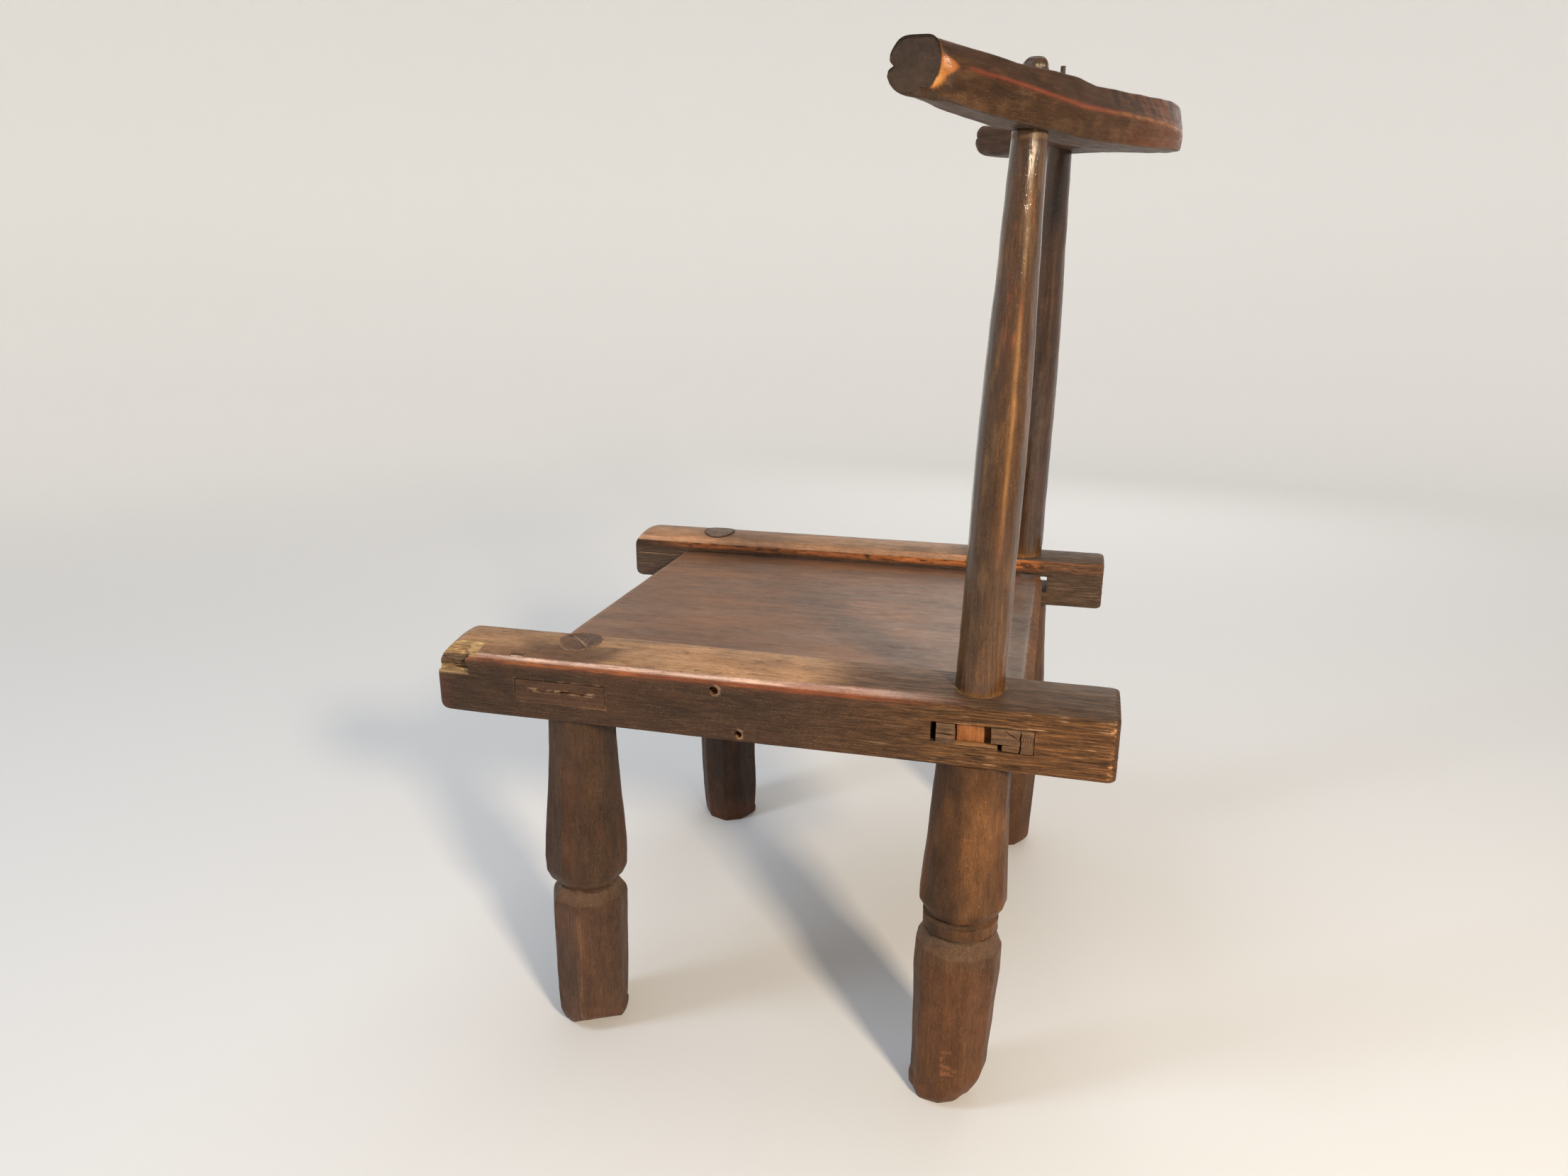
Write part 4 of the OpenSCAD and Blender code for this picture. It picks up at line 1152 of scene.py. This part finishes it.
def crest_solid(name):
    """The crest, swept along its curve, with sawn ends and a notch on the inner side."""
    x = spans((-228, -190, 0.9), (-190, 190, 1.6), (190, 228, 0.8))
    at = [np.interp(x, CREST_CUT[:, 0], CREST_CUT[:, k]) for k in range(1, 6)]
    ridge_out, ridge_up, top_up, low_up, under = at
    full = np.ones_like(x)
    swell = 1 - 0.08 * rise(np.abs(x), 150, 213)
    corners = np.stack([np.stack([ridge_out, ridge_up], -1), np.stack([10 * full, top_up], -1),
                        np.stack([-7 * full, top_up + 0.9], -1), np.stack([-14 * swell, 7.6 * full], -1),
                        np.stack([-16.4 * swell, 0.4 * full], -1), np.stack([-14 * swell, 0.52 * under], -1),
                        np.stack([-9 * full, under], -1), np.stack([12.4 * full, low_up], -1)], 1)
    edge = np.roll(corners, -1, 1) - corners
    length = np.linalg.norm(edge, axis=-1)
    angles = np.arctan2(-edge[..., 0], edge[..., 1])
    dist = (edge[..., 1] * corners[..., 0] - edge[..., 0] * corners[..., 1]) / length
    dist += np.array([0.18, 0.4, 0.4, 0.4, 0.4, 0.4, 0.3, 0.18]) * waves(x, 30, 400, 8, 5.0)
    middle = len(x) // 2 + 60
    turn = even_turns(angles[middle], dist[middle], 156, 0.4)
    worn_edge = 0.38 + 1.3 * rise(np.abs(x), 188, 206) + 0.5 * rise(np.abs(x), 50, 10)
    r = facet_radius(turn, angles, dist, worn_edge)
    # the notch on the inner side, deepest at the near end
    depth = 4.0 * rise(x, 150, 212) + 2.4 * rise(x, -165, -212)
    r = r - depth[:, None] * near_to(turn, 170, 11)[None]
    along, out = crest_frame(x)
    centre = crest_line(x)
    ways = np.broadcast_to(along[:, None], r.shape + (3,))

    def place(radius):
        return (centre[:, None] + (radius * np.cos(turn))[..., None] * out[:, None]
                + (radius * np.sin(turn))[..., None] * UP[None, None])

    outer, below = near_to(turn, 0, 30), near_to(turn, -48, 30)
    rims = (1.4 + 1.4 * outer + 4.2 * below, 2.0 + 0 * turn)
    reaches = (3.5 + 3.5 * outer + 5.5 * below, 7 + 0 * turn)
    for end, rim, reach in zip(CREST_ENDS, rims, reaches):
        left, normal = crest_end(place(r), end)
        ease = np.clip(1 - left / reach[None], 0, 1) ** 2
        r = np.where(end[0] * x[:, None] > 100, r - rim[None] * ease, r)
    rings = place(r)
    for end in CREST_ENDS:
        left, normal = crest_end(rings, end)
        rate = ways @ normal
        past = (left < 0) & (end[0] * rings[..., 0] > 100)
        beyond = np.where(past, -left / np.where(np.abs(rate) < 0.2, 0.2, rate), 0)
        rings = rings - ways * beyond[..., None]
    moved = np.linalg.norm(np.diff(rings, axis=0), axis=2).max(1) > 0.02
    keep = np.where(np.append(moved, False) | np.append(False, moved))[0]
    rings = capped(rings[keep[0]:keep[-1] + 1])
    out_way = rings - rings.mean(1, keepdims=True)
    out_way /= np.maximum(np.linalg.norm(out_way, axis=-1, keepdims=True), 1e-6)
    relief = 0.20 * noise(rings, (7, 7, 5), 420, 3) + 0.25 * noise(rings, (22, 22, 14), 421, 2)
    rings = rings + out_way * relief[..., None]
    return tube(name, rings)


crest = crest_solid("crest_rail_carved")
stub_x = 138.0
stub_y = crest_line(np.array(stub_x))[1] + 3
carve(crest, [hole(rear_left, 7.9, 431, 545, 640), hole(rear_right, 7.9, 432, 560, 640),
              peg("cutter", (stub_x, stub_y, 575), (stub_x, stub_y, 620), 1.35, 0.1, 433, 20)])


def crest_paint():
    """Dark satin wood with a red line painted along the ridge as its highlight, and a golden bevel at the
    near end.
    """
    p = Paint(crest, (0.056, 0.028, 0.015), 0.40, 0.45, 0.6)
    # distance along, outwards and up from the middle line
    grid = np.linspace(-240, 240, 1921)
    line = crest_line(grid)
    near = np.clip(np.searchsorted(grid, p.x), 1, len(grid) - 1)
    for _ in range(3):
        along, out = crest_frame(grid[near])
        shift = ((p.at - line[near]) * along).sum(1)
        near = np.clip(near + np.round(shift / 0.25 * np.abs(along[:, 0])).astype(int), 0, len(grid) - 1)
    along, out = crest_frame(grid[near])
    offset = ((p.at - line[near]) * out).sum(1)
    lift = p.z - line[near, 2]
    run = np.concatenate([[0], np.cumsum(np.linalg.norm(np.diff(line, axis=0), axis=1))])[near]
    outward = (p.facing * out).sum(1)
    ridge_up = np.interp(grid[near], CREST_CUT[:, 0], CREST_CUT[:, 2])
    over = lift - ridge_up
    turned = np.arctan2(lift, offset)
    upper = rise(over, -0.5, 1.5) * rise(outward, 0.2, 0.5)
    lower = rise(over, 0.5, -1.5) * rise(outward, 0.3, 0.6)
    under = rise(p.facing[:, 2], -0.45, -0.8)
    p.coat(upper, (0.050, 0.027, 0.016), 0.36, 0.35, 0.3)
    p.coat(lower, (0.050, 0.025, 0.012), 0.42, 0.3, 0.8)
    p.coat(lower * p.blotch((9, 9, 6), 441, 0.0, 0.4) * 0.5, (0.105, 0.056, 0.028))
    p.coat(lower * p.blotch((14, 14, 5), 442, 0.1, 0.4) * 0.6, DARK)
    p.coat(upper * p.blotch((16, 16, 5), 443, 0.1, 0.5) * 0.5, (0.100, 0.048, 0.022))
    p.coat(rise(p.x, 130, 60) * (upper + lower) * 0.8, (0.112, 0.036, 0.009))
    streaky = p.blotch((4, 4, 18), 444, -0.05, 0.2)
    p.coat(upper * rise(p.x, 134, 118) * streaky * 0.8, (0.028, 0.016, 0.011))
    # painted highlight: a thin red to orange line along the ridge
    painted_ridge_highlight = np.exp(-((over - 0.3) / 1.1) ** 2) * rise(outward, 0.5, 0.8)
    p.coat(painted_ridge_highlight * rise(p.x, 118, 128) * rise(p.x, 210, 203) * 0.8, (0.19, 0.048, 0.024), 0.26, 0.2, 0.1)
    broken = 0.35 + 0.45 * p.blotch((7, 7, 9), 446, -0.2, 0.3)
    p.coat(painted_ridge_highlight * rise(p.x, -20, 30) * rise(p.x, 134, 122) * broken,
           (0.30, 0.115, 0.040), 0.28, 0.2, 0.2)
    p.coat(under, (0.090, 0.058, 0.040), 0.5, 0.5, 0.4)
    p.coat(under * p.blotch((12, 12, 8), 445, 0.0, 0.5) * 0.5, BROWN)
    p.coat(rise(-p.x, -20, 60) * 0.3, (0.090, 0.040, 0.018))
    # the near end: a dark face in a worn bevel
    left, _ = crest_end(p.at, CREST_ENDS[0])
    face = rise(left, 1.0, 0.3) * (p.x > 150)
    width = 1.2 + 5.2 * near_to(turned, 8, 12) + 1.7 * near_to(turned, -18, 22)
    chamfer = rise(left / width, 1.15, 0.7) * rise(left, 0.2, 0.6) * rise(outward, 0.0, 0.35) * (p.x > 150)
    chamfer = chamfer * (offset > 0) * rise(turned, math.radians(-66), math.radians(-48))
    chamfer = chamfer * (1 - 0.9 * near_to(turned, 62, 30))
    p.coat(face, (0.050, 0.033, 0.024), 0.42, 0.25, 0.4)
    p.coat(chamfer * 0.9, (0.40, 0.145, 0.042), 0.26, 0.2, 0.1)
    p.coat(chamfer * near_to(turned, -20, 22) * rise(left, 3.4, 1.0) * 0.7, GOLD, 0.18)
    p.coat(chamfer * near_to(turned, 50, 28) * 0.85, (0.16, 0.045, 0.018), 0.24)
    top = rise(p.facing[:, 2], 0.6, 0.9)
    p.coat(top * 0.7, (0.10, 0.056, 0.033), 0.42)
    p.finish(crest_wood, "crest_wood", "crest_rail", grain=np.stack([offset, lift, run], 1))


crest_paint()

stub = peg("crest_nail_stub", (stub_x, stub_y, 578), (stub_x, stub_y, 594.5), 1.25, 0.12, 434, 24)
p = Paint(stub, (0.06, 0.045, 0.036), 0.6, 0.2, 0.5)
p.finish(stub_iron, "iron", "crest_nail")


# ---------------------------------------------------------------- floor, light and camera
FLOOR_COLOUR = (0.785, 0.80, 0.82)


def pale_floor():
    """A pale matt cloth that glows softly, the more the farther it is from the camera's side."""
    material = bpy.data.materials.new("pale_floor")
    material.use_nodes = True
    nodes, links = material.node_tree.nodes, material.node_tree.links
    surface = nodes["Principled BSDF"]
    surface.inputs["Roughness"].default_value = 0.8
    surface.inputs["Specular IOR Level"].default_value = 0.2
    cloth = nodes.new("ShaderNodeTexNoise")
    cloth.inputs["Scale"].default_value = 3.0
    cloth.inputs["Detail"].default_value = 4.0
    tint = nodes.new("ShaderNodeMix")
    tint.data_type = "RGBA"
    tint.inputs[6].default_value = (*[c * 0.97 for c in FLOOR_COLOUR], 1)
    tint.inputs[7].default_value = (*FLOOR_COLOUR, 1)
    links.new(cloth.outputs["Fac"], tint.inputs[0])
    links.new(tint.outputs[2], surface.inputs["Base Color"])
    reach = nodes.new("ShaderNodeVectorMath")
    reach.operation = "DISTANCE"
    reach.inputs[1].default_value = (0.9, 0.4, 0.0)
    links.new(nodes.new("ShaderNodeNewGeometry").outputs["Position"], reach.inputs[0])
    glow = nodes.new("ShaderNodeMapRange")
    glow.interpolation_type = "SMOOTHSTEP"
    for socket, value in (("From Min", 1.2), ("From Max", 3.8), ("To Min", 0.0), ("To Max", 0.27)):
        glow.inputs[socket].default_value = value
    links.new(reach.outputs["Value"], glow.inputs["Value"])
    links.new(glow.outputs["Result"], surface.inputs["Emission Strength"])
    surface.inputs["Emission Color"].default_value = (1.0, 0.93, 0.82, 1)
    return material


# the floor's profile from the middle outward, as radius and height in metres: flat, then rising as a wall
profile = [(0.02, 0.0), (0.6, 0.0), (1.4, 0.0), (2.3, 0.0), (2.7, 0.04), (3.05, 0.16), (3.32, 0.4),
           (3.45, 0.8), (3.5, 1.4), (3.5, 2.6)]
turn = np.linspace(0, 2 * math.pi, 96, endpoint=False)
rings = np.array([[(r * math.cos(t), r * math.sin(t), z) for t in turn] for r, z in profile]) / MM
count, around = rings.shape[:2]
ids = np.arange(count * around).reshape(count, around)
quads = np.stack([ids[:-1], ids[1:], np.roll(ids[1:], -1, 1), np.roll(ids[:-1], -1, 1)], -1).reshape(-1, 4)
floor = mesh_of("floor", rings.reshape(-1, 3), quads, [ids[0]])
floor.data.polygons.foreach_set("use_smooth", np.ones(len(floor.data.polygons), bool))
floor.data.materials.append(pale_floor())


def lamp(name, place, aim, size, power, colour, height=None):
    """An area lamp; it is square when no height is given."""
    data = bpy.data.lights.new(name, "AREA")
    data.energy, data.color, data.size = power, colour, size
    if height is not None:
        data.shape, data.size_y = "RECTANGLE", height
    made = bpy.data.objects.new(name, data)
    bpy.context.scene.collection.objects.link(made)
    made.location = place
    made.rotation_mode = "QUATERNION"
    made.rotation_quaternion = (Vector(aim) - Vector(place)).to_track_quat("-Z", "Y")
    return made


lamp("key", (1.30, 1.00, 1.00), (0.0, 0.0, 0.3), 0.20, 29, (1.0, 0.81, 0.58))
lamp("cool_fill", (0.80, -1.05, 1.55), (0.1, -0.05, 0.27), 0.32, 10, (0.80, 0.89, 1.0), 1.2)
lamp("overhead", (-0.5, 0.1, 2.2), (0.0, 0.0, 0.2), 1.4, 10, (1.0, 0.98, 0.95))
lamp("back", (-1.7, 0.2, 1.0), (0.0, 0.0, 0.3), 1.2, 4, (1.0, 0.95, 0.88))

world = bpy.data.worlds.new("room")
bpy.context.scene.world = world
world.use_nodes = True
background = world.node_tree.nodes["Background"]
background.inputs["Color"].default_value = (0.95, 0.96, 1.0, 1)
background.inputs["Strength"].default_value = 0.19

forward = Vector((-0.92888913, -0.23979753, -0.28224481)).normalized()
right = Vector((-0.2508675, 0.96801618, 0.00318943))
right = (right - forward * right.dot(forward)).normalized()
upward = right.cross(forward)
camera_place = Vector((732.56, 152.49, 494.81))  # in millimetres
camera_data = bpy.data.cameras.new("camera")
camera_data.sensor_width = 36.0
camera_data.lens = 24.42
camera_data.clip_start = 0.01
camera_data.clip_end = 50.0
camera = bpy.data.objects.new("camera", camera_data)
bpy.context.scene.collection.objects.link(camera)
turned = Matrix((right, upward, -forward)).transposed().to_4x4()
camera.matrix_world = Matrix.Translation(camera_place * MM) @ turned
bpy.context.scene.camera = camera
bpy.context.scene.view_settings.view_transform = "Standard"
